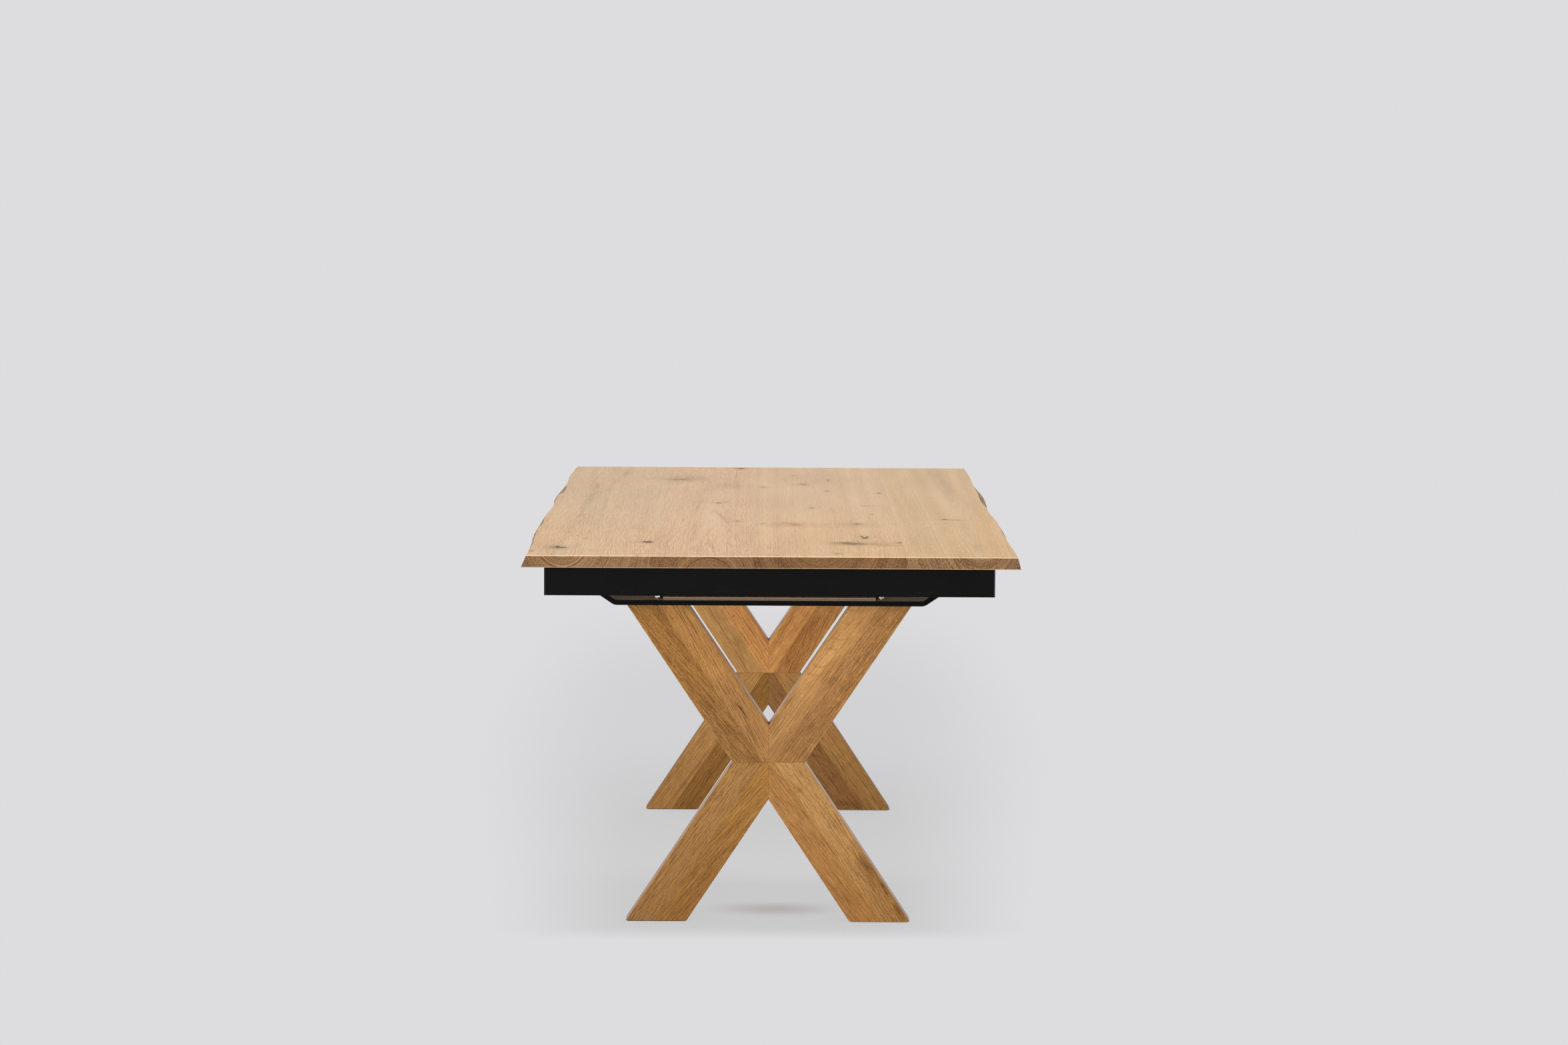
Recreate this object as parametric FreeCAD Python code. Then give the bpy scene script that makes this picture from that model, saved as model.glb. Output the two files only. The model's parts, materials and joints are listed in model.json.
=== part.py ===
import FreeCAD, Part
import math
import os

# Extending dining table with a live-edge oak top on two X-shaped oak legs.
# Millimetres. Origin on the floor under the middle of the top, +Z up, the length along Y,
# the front end at -Y. The end frames pull out along Y and two loose leaves lie under the top.

Vector = FreeCAD.Vector

# ---- overall ----
table_length = 2000.0
table_height = 760.0
end_overhang = 322.0            # end of the top to the outer face of the leg

# ---- top ----
top_thickness = 23.0
end_ease = 1.2                  # bevel on the upper and lower edge of each end
glue_lines_x = (-225.0, -30.0, 257.0)
board_names = ("left_edge", "mid_left", "mid_right", "right_edge")

# ---- live edge ----
# A bark line starts at the front end at some half width and then runs over ledges.
# Each ledge: its place along Y, the length it takes, the change of half width.
bark_step = 25.0                # spacing of the points that carry a bark line
left_upper_start = 456.8
left_upper_ledges = (
    (-750.0, 60.0, 3.0),
    (-640.0, 200.0, 3.2),
    (-435.0, 70.0, -2.8),
    (-300.0, 150.0, 3.7),
    (-110.0, 220.0, -4.5),
    (80.0, 130.0, 2.9),
    (285.0, 80.0, -9.0),
    (460.0, 70.0, 3.2),
    (575.0, 160.0, 2.3),
    (720.0, 80.0, 1.6),
    (860.0, 140.0, -4.4),
)
left_lower_start = 467.0
left_lower_ledges = (
    (-760.0, 160.0, 3.4),
    (-525.0, 50.0, 4.6),
    (-445.0, 150.0, 2.8),
    (-160.0, 220.0, -8.8),
    (290.0, 180.0, 8.2),
    (545.0, 80.0, -11.7),
    (740.0, 140.0, 5.0),
    (900.0, 160.0, 3.0),
)
right_upper_start = 465.6
right_upper_ledges = (
    (-790.0, 140.0, -2.0),
    (-665.0, 90.0, 1.7),
    (-565.0, 60.0, -2.1),
    (-480.0, 90.0, 2.2),
    (-210.0, 200.0, -4.4),
    (75.0, 150.0, -3.2),
    (270.0, 180.0, 3.0),
    (650.0, 240.0, 2.8),
    (920.0, 120.0, -1.2),
)
right_lower_start = 472.0
right_lower_ledges = (
    (-560.0, 180.0, 5.0),
    (-420.0, 80.0, 2.7),
    (-315.0, 70.0, -6.0),
    (-120.0, 200.0, -3.7),
    (225.0, 150.0, 7.7),
    (380.0, 120.0, 3.0),
    (555.0, 50.0, -10.2),
    (800.0, 200.0, 1.5),
)
top_reach = 500.0               # clear of the bark on both sides

# ---- X legs ----
leg_depth = 50.0
beam_width = 100.0
joint_height = 318.5            # floor to the level joint between upper and lower beams
joint_half_width = 71.0
foot_half_width = 280.5
head_half_width = 280.0
toe_blunt = 0.8                 # upright cut on the pointed toe of each foot
arris_radius = 3.0
foot_pad_thickness = 1.5
foot_pad_inset = 4.0
dowel_radius = 7.0
dowel_length = 56.0
dowel_reach_x = 40.0            # upright dowels, from the middle of the leg
dowel_reach_z = 44.0            # level dowels, from the joint line

# ---- steel underframe ----
slide_gap = 1.5                 # air between the top and the slide tubes, filled by a leaf's felt
slide_clearance = 0.3
tube_width = 35.0
tube_height = 30.0
tube_wall = 2.5
tube_corner_radius = 3.0
liner_thickness = 1.5
liner_length = 60.0
rail_wall = 2.5
rail_flange = 22.0
rail_bend_radius = 3.0
rail_outer_x = 420.5
rail_end_gap = 2.0
rail_screw_count = 4
rail_screw_end = 70.0           # from the end of the rail to its first screw

bow_thickness = 10.0
bow_width = 80.0
bow_drop = 70.7                 # underside of the rail to the underside of the bow
bow_flat_half = 303.5
bow_angle = 34.0                # wings above the horizontal, degrees
bow_bend_radius = 10.0          # inside radius

tie_width = 30.0
tie_x = 150.0

stiffener_width = 40.0
stiffener_depth = 12.0
stiffener_wall = 2.0
stiffener_places_y = (-800.0, -290.0, 290.0, 800.0)
stiffener_screws_x = (-110.0, 110.0)

# ---- shelf under the top ----
shelf_thickness = 6.0
shelf_half_width = 234.0
shelf_notch_gap = 1.0           # round the washers of the leg bolts

# ---- fasteners; shanks and their holes are prisms whose corners lie on the radius ----
shank_sides = 8
leg_bolt_radius = 5.0
leg_bolt_head_flats = 17.0
leg_bolt_head_height = 6.4
washer_radius = 11.0
washer_thickness = 2.0
insert_radius = 8.0
insert_length = 30.0
wood_screw_radius = 2.0
wood_screw_length = 18.0
wood_screw_head_flats = 8.0
wood_screw_head_height = 3.0
stop_screw_radius = 3.0
stop_screw_head_flats = 10.0
stop_screw_head_height = 2.6
stop_screw_inset = 78.0         # from the end of the rail
stop_slot_half_width = 4.0

# ---- pull-out end frames ----
apron_half_width = 425.0
apron_height = 54.5
apron_depth = 20.0
apron_wall = 2.0
apron_corner_radius = 2.5
apron_inset = 30.0              # behind the end of the top
apron_cap = 2.0
cap_plug_length = 12.0
fit_clearance = 0.2
tubes_apart = 80.0              # between the front and back glide blocks when closed
glide_block_length = 30.0
glide_plug_length = 25.0

# ---- loose leaves ----
leaf_length = 500.0             # how much one leaf adds to the table, also the travel
leaf_felt_width = 30.0
leaf_rest_gap = 0.2

# ---- levels and places that follow from the sizes above ----
half_length = table_length / 2.0
top_underside = table_height - top_thickness
tube_top = top_underside - slide_gap
tube_bottom = tube_top - tube_height
rail_floor = tube_bottom - slide_clearance - liner_thickness
rail_bottom = rail_floor - rail_wall
bow_bottom = rail_bottom - bow_drop
bow_top = bow_bottom + bow_thickness
shelf_top = bow_top + shelf_thickness
rail_inner_width = tube_width + 2.0 * (liner_thickness + slide_clearance)
rail_centre_x = rail_outer_x - rail_wall - rail_inner_width / 2.0
rail_inner_x = rail_outer_x - 2.0 * rail_wall - rail_inner_width
apron_face_y = half_length - apron_inset
apron_back_y = apron_face_y - apron_depth
rail_half_length = apron_back_y - rail_end_gap
leg_outer_y = half_length - end_overhang
leg_mid_y = leg_outer_y - leg_depth / 2.0
bow_outer_y = leg_mid_y + bow_width / 2.0
bow_inner_y = leg_mid_y - bow_width / 2.0
tube_end_y = tubes_apart / 2.0 + glide_block_length
travel = leaf_length


# ---- plain shapes ----
def box(x0, x1, y0, y1, z0, z1):
    return Part.makeBox(x1 - x0, y1 - y0, z1 - z0, Vector(x0, y0, z0))


def regular_prism(radius, sides, length, x, y, z):
    angles = [2.0 * math.pi * i / sides for i in range(sides)]
    points = [Vector(x + radius * math.cos(a), y + radius * math.sin(a), z) for a in angles]
    return Part.Face(Part.makePolygon(points + points[:1])).extrude(Vector(0, 0, length))


def shank(radius, length, x, y, z):
    return regular_prism(radius, shank_sides, length, x, y, z)


def prism_along_y(outline_xz, y0, y1):
    points = [Vector(x, y0, z) for x, z in outline_xz]
    face = Part.Face(Part.makePolygon(points + points[:1]))
    return face.extrude(Vector(0, y1 - y0, 0))


def prism_along_x(outline_yz, x0, x1):
    points = [Vector(x0, y, z) for y, z in outline_yz]
    face = Part.Face(Part.makePolygon(points + points[:1]))
    return face.extrude(Vector(x1 - x0, 0, 0))


def mirror_x(shape):
    return shape.mirror(Vector(0, 0, 0), Vector(1, 0, 0))


def mirror_y(shape):
    return shape.mirror(Vector(0, 0, 0), Vector(0, 1, 0))


def place_end(shape, side):
    """A piece is drawn for the front end, -Y; side +1 turns it to the back end."""
    return shape if side < 0 else mirror_y(shape)


def is_line_along(edge, axis):
    ends = edge.Vertexes
    if len(ends) != 2 or edge.Curve.TypeId != "Part::GeomLine":
        return False
    run = ends[1].Point.sub(ends[0].Point)
    return abs(abs(run.dot(axis)) - run.Length) < 1e-6


def round_edges(shape, axis, radius, keep):
    """Round the straight edges along an axis whose middle point passes keep."""
    chosen = [e for e in shape.Edges if is_line_along(e, axis) and keep(e.CenterOfMass)]
    return shape.makeFillet(radius, chosen)


def drilled(shape, drills):
    return shape.cut(Part.makeCompound(drills)) if drills else shape


def hex_head(flats, height, x, y, z):
    return regular_prism(flats / math.sqrt(3.0), 6, height, x, y, z)


# ---- live-edge slab ----
def bark_reach(y, start, ledges):
    """Half width at one place along a bark line."""
    reach = start
    for place, length, change in ledges:
        share = min(1.0, max(0.0, (y - place) / length + 0.5))
        reach += change * share * share * (3.0 - 2.0 * share)
    return reach


def bark_line(side, start, ledges, y0, y1, z):
    steps = max(4, int(round((y1 - y0) / bark_step)))
    points = []
    for i in range(steps + 1):
        y = y0 + (y1 - y0) * i / steps
        points.append(Vector(side * bark_reach(y, start, ledges), y, z))
    curve = Part.BSplineCurve()
    curve.interpolate(points)
    return curve.toShape(), points[0], points[-1]


def slab_outline(left_bark, right_bark, y0, y1, z):
    left, left_front, left_back = bark_line(-1, left_bark[0], left_bark[1], y0, y1, z)
    right, right_front, right_back = bark_line(1, right_bark[0], right_bark[1], y0, y1, z)
    front = Part.makeLine(left_front, right_front)
    back = Part.makeLine(right_back, left_back)
    return Part.Wire([left, front, right, back])


def live_edge_slab(y0, y1):
    """A slab whose long sides follow the bark, wider below than above."""
    left = (left_lower_start, left_lower_ledges)
    right = (right_lower_start, right_lower_ledges)
    lower = slab_outline(left, right, y0, y1, top_underside)
    left = (left_upper_start, left_upper_ledges)
    right = (right_upper_start, right_upper_ledges)
    upper = slab_outline(left, right, y0, y1, table_height)
    slab = Part.makeLoft([lower, upper], True, True)
    for y, inward in ((y0, 1.0), (y1, -1.0)):
        for z, up in ((top_underside, 1.0), (table_height, -1.0)):
            bevel = [(y, z), (y + inward * end_ease, z), (y, z + up * end_ease)]
            slab = slab.cut(prism_along_x(bevel, -top_reach, top_reach))
    return slab


def board_limits():
    stations = (-top_reach,) + glue_lines_x + (top_reach,)
    return list(zip(board_names, stations[:-1], stations[1:]))


def slab_boards(slab, y0, y1):
    """The glued boards of a slab, from left to right."""
    boards = {}
    for name, x0, x1 in board_limits():
        boards[name] = slab.common(box(x0, x1, y0, y1, top_underside, table_height))
    return boards


# ---- screws into the underside of the top ----
def rail_screw_spots():
    first = rail_half_length - rail_screw_end
    pitch = 2.0 * first / (rail_screw_count - 1)
    flange_x = rail_inner_x - rail_flange / 2.0
    rows = [-first + i * pitch for i in range(rail_screw_count)]
    return [(side * flange_x, y) for side in (-1.0, 1.0) for y in rows]


def stiffener_screw_spots():
    return [(x, y) for y in stiffener_places_y for x in stiffener_screws_x]


def hex_screw(flats, head_height, radius, length, x, y, seat_z):
    """Hexagon head below seat_z, shank up from it."""
    head = hex_head(flats, head_height, x, y, seat_z - head_height)
    return head.fuse(shank(radius, length, x, y, seat_z))


def wood_screw(x, y, seat_z):
    return hex_screw(wood_screw_head_flats, wood_screw_head_height,
                     wood_screw_radius, wood_screw_length, x, y, seat_z)


def table_top():
    slab = live_edge_slab(-half_length, half_length)
    boards = slab_boards(slab, -half_length, half_length)
    seats = [(x, y, top_underside - rail_wall) for x, y in rail_screw_spots()]
    seats += [(x, y, top_underside - stiffener_wall) for x, y in stiffener_screw_spots()]
    nodes = {}
    for name, x0, x1 in board_limits():
        holes = [shank(wood_screw_radius, wood_screw_length, x, y, z) for x, y, z in seats if x0 < x < x1]
        nodes["top_board_" + name] = drilled(boards[name], holes)
    nodes["rail_screws"] = Part.makeCompound(
        [wood_screw(x, y, top_underside - rail_wall) for x, y in rail_screw_spots()])
    nodes["stiffener_screws"] = Part.makeCompound(
        [wood_screw(x, y, top_underside - stiffener_wall) for x, y in stiffener_screw_spots()])
    return nodes


# ---- steel underframe ----
def stop_screw_y():
    return -(rail_half_length - stop_screw_inset)


def rail_right():
    """Channel open to the top, with one flange turned inward for the screws."""
    x_in = rail_inner_x
    x_out = rail_outer_x
    outline = [
        (x_out, top_underside), (x_out, rail_bottom), (x_in, rail_bottom),
        (x_in, top_underside - rail_wall), (x_in - rail_flange, top_underside - rail_wall),
        (x_in - rail_flange, top_underside), (x_in + rail_wall, top_underside),
        (x_in + rail_wall, rail_floor), (x_out - rail_wall, rail_floor), (x_out - rail_wall, top_underside),
    ]
    rail = prism_along_y(outline, -rail_half_length, rail_half_length)
    along = Vector(0, 1, 0)
    rail = round_edges(rail, along, rail_bend_radius, lambda c: abs(c.z - rail_bottom) < 0.01)
    holes = [shank(wood_screw_radius, rail_wall, x, y, top_underside - rail_wall)
             for x, y in rail_screw_spots() if x > 0]
    for side in (-1.0, 1.0):
        holes.append(shank(stop_screw_radius, rail_wall, rail_centre_x, side * stop_screw_y(), rail_bottom))
    return drilled(rail, holes)


def bow_outline():
    """Half of the bent bar, from the middle out to its tab, lower side then upper side."""
    slope = math.tan(math.radians(bow_angle))
    tab_under = rail_bottom - bow_thickness
    wing_run = (tab_under - bow_bottom) / slope
    shift = bow_thickness * math.tan(math.radians(bow_angle / 2.0))
    lower = [
        (bow_flat_half, bow_bottom),
        (bow_flat_half + wing_run, tab_under),
        (rail_outer_x, tab_under),
    ]
    upper = [
        (rail_outer_x, rail_bottom),
        (bow_flat_half + wing_run - shift, rail_bottom),
        (bow_flat_half - shift, bow_top),
    ]
    return lower, upper


def bow_front():
    lower, upper = bow_outline()
    right = lower + upper
    left = [(-x, z) for x, z in reversed(right)]
    bar = prism_along_y(right + left, -bow_outer_y, -bow_inner_y)
    along = Vector(0, 1, 0)
    bend_points = (lower[0], lower[1], upper[1], upper[2])
    outside = (lower[0], upper[1])
    for x, z in bend_points:
        radius = bow_bend_radius + (bow_thickness if (x, z) in outside else 0.0)
        bar = round_edges(bar, along, radius,
                          lambda c: abs(abs(c.x) - x) < 0.01 and abs(c.z - z) < 0.01)
    holes = [shank(leg_bolt_radius, bow_thickness, x, -leg_mid_y, bow_bottom) for x in leg_bolt_places_x()]
    return drilled(bar, holes)


def tie_bars():
    half = tie_width / 2.0
    bar = box(tie_x - half, tie_x + half, -bow_inner_y, bow_inner_y, bow_bottom, bow_top)
    return {"tie_bar_right": bar, "tie_bar_left": mirror_x(bar)}


def stiffener(y):
    """Shallow channel across the boards, from rail to rail, its web against the underside of the top."""
    reach = rail_inner_x - rail_flange
    half = stiffener_width / 2.0
    low = top_underside - stiffener_depth
    web = top_underside - stiffener_wall
    outline = [
        (y - half, top_underside), (y - half, low), (y - half + stiffener_wall, low),
        (y - half + stiffener_wall, web), (y + half - stiffener_wall, web),
        (y + half - stiffener_wall, low), (y + half, low), (y + half, top_underside),
    ]
    channel = prism_along_x(outline, -reach, reach)
    holes = [shank(wood_screw_radius, stiffener_wall, x, y, web) for x in stiffener_screws_x]
    return drilled(channel, holes)


def mouth_liner_right():
    """Plastic liner that the slide tube runs in, at the front mouth of the right rail."""
    half = rail_inner_width / 2.0
    inner = half - liner_thickness
    x = rail_centre_x
    floor = rail_floor + liner_thickness
    outline = [
        (x - half, rail_floor), (x + half, rail_floor), (x + half, tube_top), (x + inner, tube_top),
        (x + inner, floor), (x - inner, floor), (x - inner, tube_top), (x - half, tube_top),
    ]
    return prism_along_y(outline, -rail_half_length, -rail_half_length + liner_length)


def stop_screw():
    """Its shank stands in the slot of the slide tube and ends the travel."""
    shank_length = tube_bottom + tube_wall - rail_bottom
    return hex_screw(stop_screw_head_flats, stop_screw_head_height, stop_screw_radius, shank_length,
                     rail_centre_x, stop_screw_y(), rail_bottom)


def four_corners(shape):
    """Copies of a piece at the front right, front left, back right and back left."""
    left = mirror_x(shape)
    return Part.makeCompound([shape, left, mirror_y(shape), mirror_y(left)])


def underframe():
    rail = rail_right()
    bow = bow_front()
    nodes = {"side_rail_right": rail, "side_rail_left": mirror_x(rail)}
    nodes["bow_front"] = bow
    nodes["bow_back"] = mirror_y(bow)
    nodes.update(tie_bars())
    for number, y in enumerate(stiffener_places_y, 1):
        nodes["cross_stiffener_%d" % number] = stiffener(y)
    nodes["rail_mouth_liners"] = four_corners(mouth_liner_right())
    nodes["travel_stop_screws"] = four_corners(stop_screw())
    return nodes


# ---- shelf ----
def leaf_shelf():
    """Thin board on the bows and tie bars, its corners notched round the leg bolts."""
    wide = shelf_half_width
    narrow = leg_bolt_places_x()[1] - washer_radius - shelf_notch_gap
    end = bow_outer_y
    notch = leg_mid_y - washer_radius - shelf_notch_gap
    quarter = [(narrow, end), (narrow, notch), (wide, notch)]
    right = quarter + [(x, -y) for x, y in reversed(quarter)]
    outline = right + [(-x, y) for x, y in reversed(right)]
    points = [Vector(x, y, bow_top) for x, y in outline]
    return Part.Face(Part.makePolygon(points + points[:1])).extrude(Vector(0, 0, shelf_thickness))


# ---- X legs ----
def beam_lines(z_end, half_width_end):
    """Outer and inner edge of one beam, from the joint line to its far end, as x of z."""
    rise = z_end - joint_height
    slope = (half_width_end - joint_half_width) / abs(rise)
    level_cut = beam_width * math.sqrt(1.0 + slope * slope)
    apex = joint_height + math.copysign((level_cut - joint_half_width) / slope, rise)
    return slope, level_cut, apex


def beam_right(z_end, half_width_end):
    """Mitred beam on +X: mitre at x = 0, level joint at the joint line, level far end."""
    _, level_cut, apex = beam_lines(z_end, half_width_end)
    outline = [
        (0.0, joint_height), (joint_half_width, joint_height), (half_width_end, z_end),
        (half_width_end - level_cut, z_end), (0.0, apex),
    ]
    beam = prism_along_y(outline, -leg_outer_y, -leg_outer_y + leg_depth)
    run = Vector(half_width_end - joint_half_width, 0, z_end - joint_height)
    run.normalize()
    return round_edges(beam, run, arris_radius, lambda c: True)


def leg_dowels():
    """Upright dowels across the level joint, and level ones across the mitres above and below it."""
    half = dowel_length / 2.0
    y = -leg_mid_y
    pins = [shank(dowel_radius, dowel_length, x, y, joint_height - half)
            for x in (-dowel_reach_x, dowel_reach_x)]
    for dz in (-dowel_reach_z, dowel_reach_z):
        pin = shank(dowel_radius, dowel_length, 0.0, 0.0, -half)
        pin.rotate(Vector(0, 0, 0), Vector(0, 1, 0), 90.0)
        pin.translate(Vector(0.0, y, joint_height + dz))
        pins.append(pin)
    return pins


def leg_bolt_places_x():
    _, level_cut, _ = beam_lines(bow_bottom, head_half_width)
    middle = head_half_width - level_cut / 2.0
    return (-middle, middle)


def leg_front():
    """The four beams, drilled for the dowels and the threaded inserts."""
    upper = beam_right(bow_bottom, head_half_width)
    lower = beam_right(foot_pad_thickness, foot_half_width)
    lower = lower.cut(box(foot_half_width - toe_blunt, foot_half_width + 1.0,
                          -leg_outer_y, -leg_outer_y + leg_depth, 0.0, joint_height / 2.0))
    drills = leg_dowels()
    for x in leg_bolt_places_x():
        drills.append(shank(insert_radius, insert_length, x, -leg_mid_y, bow_bottom - insert_length))
    beams = {
        "upper_right": upper, "upper_left": mirror_x(upper),
        "lower_right": lower, "lower_left": mirror_x(lower),
    }
    return {name: drilled(shape, drills) for name, shape in beams.items()}


def leg_fastenings_front():
    """Bolt, washer and threaded insert at each head of the leg."""
    bolts = []
    washers = []
    inserts = []
    y = -leg_mid_y
    seat = bow_top + washer_thickness
    shank_length = seat - (bow_bottom - insert_length)
    for x in leg_bolt_places_x():
        head = hex_head(leg_bolt_head_flats, leg_bolt_head_height, x, y, seat)
        bolts.append(head.fuse(shank(leg_bolt_radius, shank_length, x, y, seat - shank_length)))
        ring = Part.makeCylinder(washer_radius, washer_thickness, Vector(x, y, bow_top))
        washers.append(ring.cut(shank(leg_bolt_radius, washer_thickness, x, y, bow_top)))
        sleeve = shank(insert_radius, insert_length, x, y, bow_bottom - insert_length)
        inserts.append(sleeve.cut(shank(leg_bolt_radius, insert_length, x, y, bow_bottom - insert_length)))
    return {"leg_bolts": bolts, "leg_bolt_washers": washers, "leg_inserts": inserts}


def foot_pads_front():
    _, level_cut, _ = beam_lines(foot_pad_thickness, foot_half_width)
    outer = foot_half_width - foot_pad_inset
    inner = foot_half_width - level_cut + foot_pad_inset
    y0 = -leg_outer_y + foot_pad_inset
    y1 = -leg_outer_y + leg_depth - foot_pad_inset
    pad = box(inner, outer, y0, y1, 0.0, foot_pad_thickness)
    return [pad, mirror_x(pad)]


def legs():
    nodes = {}
    beams = leg_front()
    for side, end in ((-1, "front"), (1, "back")):
        for name, shape in beams.items():
            nodes["leg_%s_%s_beam" % (end, name)] = place_end(shape, side)
        pins = [place_end(pin, side) for pin in leg_dowels()]
        nodes["leg_%s_dowels" % end] = Part.makeCompound(pins)
    for name, pieces in leg_fastenings_front().items():
        nodes[name] = Part.makeCompound(pieces + [mirror_y(piece) for piece in pieces])
    pads = foot_pads_front()
    nodes["foot_pads"] = Part.makeCompound(pads + [mirror_y(pad) for pad in pads])
    return nodes


# ---- pull-out end frames ----
def apron_front():
    """Rectangular steel tube across the end, open at both ends for the caps."""
    reach = apron_half_width - apron_cap
    z0 = tube_top - apron_height
    outer = box(-reach, reach, -apron_face_y, -apron_back_y, z0, tube_top)
    outer = round_edges(outer, Vector(1, 0, 0), apron_corner_radius, lambda c: True)
    wall = apron_wall
    inner = box(-reach, reach, -apron_face_y + wall, -apron_back_y - wall, z0 + wall, tube_top - wall)
    return outer.cut(inner)


def apron_caps_front():
    z0 = tube_top - apron_height
    x0 = apron_half_width - apron_cap
    plate = box(x0, apron_half_width, -apron_face_y, -apron_back_y, z0, tube_top)
    plate = round_edges(plate, Vector(1, 0, 0), apron_corner_radius, lambda c: True)
    gap = apron_wall + fit_clearance
    plug = box(x0 - cap_plug_length, x0, -apron_face_y + gap, -apron_back_y - gap, z0 + gap, tube_top - gap)
    cap = plate.fuse(plug)
    return Part.makeCompound([cap, mirror_x(cap)])


def slide_tube_right():
    """Runs in the right rail; the slot in its floor rides over the stop screw."""
    half = tube_width / 2.0
    x0 = rail_centre_x - half
    x1 = rail_centre_x + half
    outer = box(x0, x1, -apron_back_y, -tube_end_y, tube_bottom, tube_top)
    outer = round_edges(outer, Vector(0, 1, 0), tube_corner_radius, lambda c: True)
    wall = tube_wall
    inner = box(x0 + wall, x1 - wall, -apron_back_y, -tube_end_y, tube_bottom + wall, tube_top - wall)
    tube = outer.cut(inner)
    reach = stop_screw_radius + slide_clearance
    slot = box(rail_centre_x - stop_slot_half_width, rail_centre_x + stop_slot_half_width,
               stop_screw_y() - reach, stop_screw_y() + travel + reach,
               tube_bottom, tube_bottom + tube_wall)
    return tube.cut(slot)


def glide_block_right():
    """Plastic block on the inner end of the slide tube, guided by the rail and the top."""
    half = rail_inner_width / 2.0 - slide_clearance
    x = rail_centre_x
    block = box(x - half, x + half, -tube_end_y, -tube_end_y + glide_block_length,
                rail_floor + slide_clearance, top_underside - slide_clearance)
    block = round_edges(block, Vector(0, 0, 1), tube_corner_radius, lambda c: c.y > -tube_end_y + 1.0)
    gap = tube_wall + fit_clearance
    half_plug = tube_width / 2.0 - gap
    plug = box(x - half_plug, x + half_plug, -tube_end_y - glide_plug_length, -tube_end_y,
               tube_bottom + gap, tube_top - gap)
    return block.fuse(plug)


def pull_outs():
    nodes = {}
    tube = slide_tube_right()
    block = glide_block_right()
    for side, end in ((-1, "front"), (1, "back")):
        nodes["%s_apron" % end] = place_end(apron_front(), side)
        nodes["%s_apron_caps" % end] = place_end(apron_caps_front(), side)
        nodes["%s_slide_tube_right" % end] = place_end(tube, side)
        nodes["%s_slide_tube_left" % end] = place_end(mirror_x(tube), side)
        nodes["%s_glide_blocks" % end] = place_end(Part.makeCompound([block, mirror_x(block)]), side)
    return nodes


# ---- loose leaves, stored across the shelf with their bark ends to the front and back ----
def stored(shape, underside):
    """Turn a leaf a quarter and lower it so that its wood starts at underside."""
    turned = shape.copy()
    turned.rotate(Vector(0, 0, 0), Vector(0, 0, 1), 90.0)
    turned.translate(Vector(0, 0, underside - top_underside))
    return turned


def leaf_felts():
    """Two strips that lie on the slide tubes when the leaf is in use."""
    half = leaf_felt_width / 2.0
    strip = box(rail_centre_x - half, rail_centre_x + half, -leaf_length / 2.0, leaf_length / 2.0,
                top_underside - slide_gap, top_underside)
    return Part.makeCompound([strip, mirror_x(strip)])


def leaves():
    nodes = {}
    slab = live_edge_slab(-leaf_length / 2.0, leaf_length / 2.0)
    boards = slab_boards(slab, -leaf_length / 2.0, leaf_length / 2.0)
    seat = shelf_top
    for name in ("lower", "upper"):
        underside = seat + leaf_rest_gap + slide_gap
        for board, shape in boards.items():
            nodes["%s_leaf_board_%s" % (name, board)] = stored(shape, underside)
        nodes["%s_leaf_felt_strips" % name] = stored(leaf_felts(), underside)
        seat = underside + top_thickness
    return nodes


def all_nodes():
    nodes = table_top()
    nodes.update(underframe())
    nodes["leaf_shelf"] = leaf_shelf()
    nodes.update(legs())
    nodes.update(pull_outs())
    nodes.update(leaves())
    return nodes


os.makedirs("parts", exist_ok=True)
for node_name, node_shape in all_nodes().items():
    node_shape.exportStep("parts/%s.step" % node_name)
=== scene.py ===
import json
import math

import bpy
from mathutils import Matrix, Vector


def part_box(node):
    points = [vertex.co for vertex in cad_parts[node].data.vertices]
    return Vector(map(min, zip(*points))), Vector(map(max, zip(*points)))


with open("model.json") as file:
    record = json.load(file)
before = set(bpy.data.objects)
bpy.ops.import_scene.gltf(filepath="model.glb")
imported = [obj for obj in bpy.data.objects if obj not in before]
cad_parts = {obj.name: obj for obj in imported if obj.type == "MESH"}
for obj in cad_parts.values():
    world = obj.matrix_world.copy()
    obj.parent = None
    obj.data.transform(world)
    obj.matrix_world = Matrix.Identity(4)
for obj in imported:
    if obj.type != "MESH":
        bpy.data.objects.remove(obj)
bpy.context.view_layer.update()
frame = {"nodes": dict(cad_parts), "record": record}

NODES = frame["nodes"]
MM = 0.001


def srgb(r, g, b):
    """A colour given as it should look, 0 to 255, as linear light."""
    def linear(v):
        v /= 255.0
        return v / 12.92 if v <= 0.04045 else ((v + 0.055) / 1.055) ** 2.4
    return (linear(r), linear(g), linear(b), 1.0)


# ---------------------------------------------------------------- node writing

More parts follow.
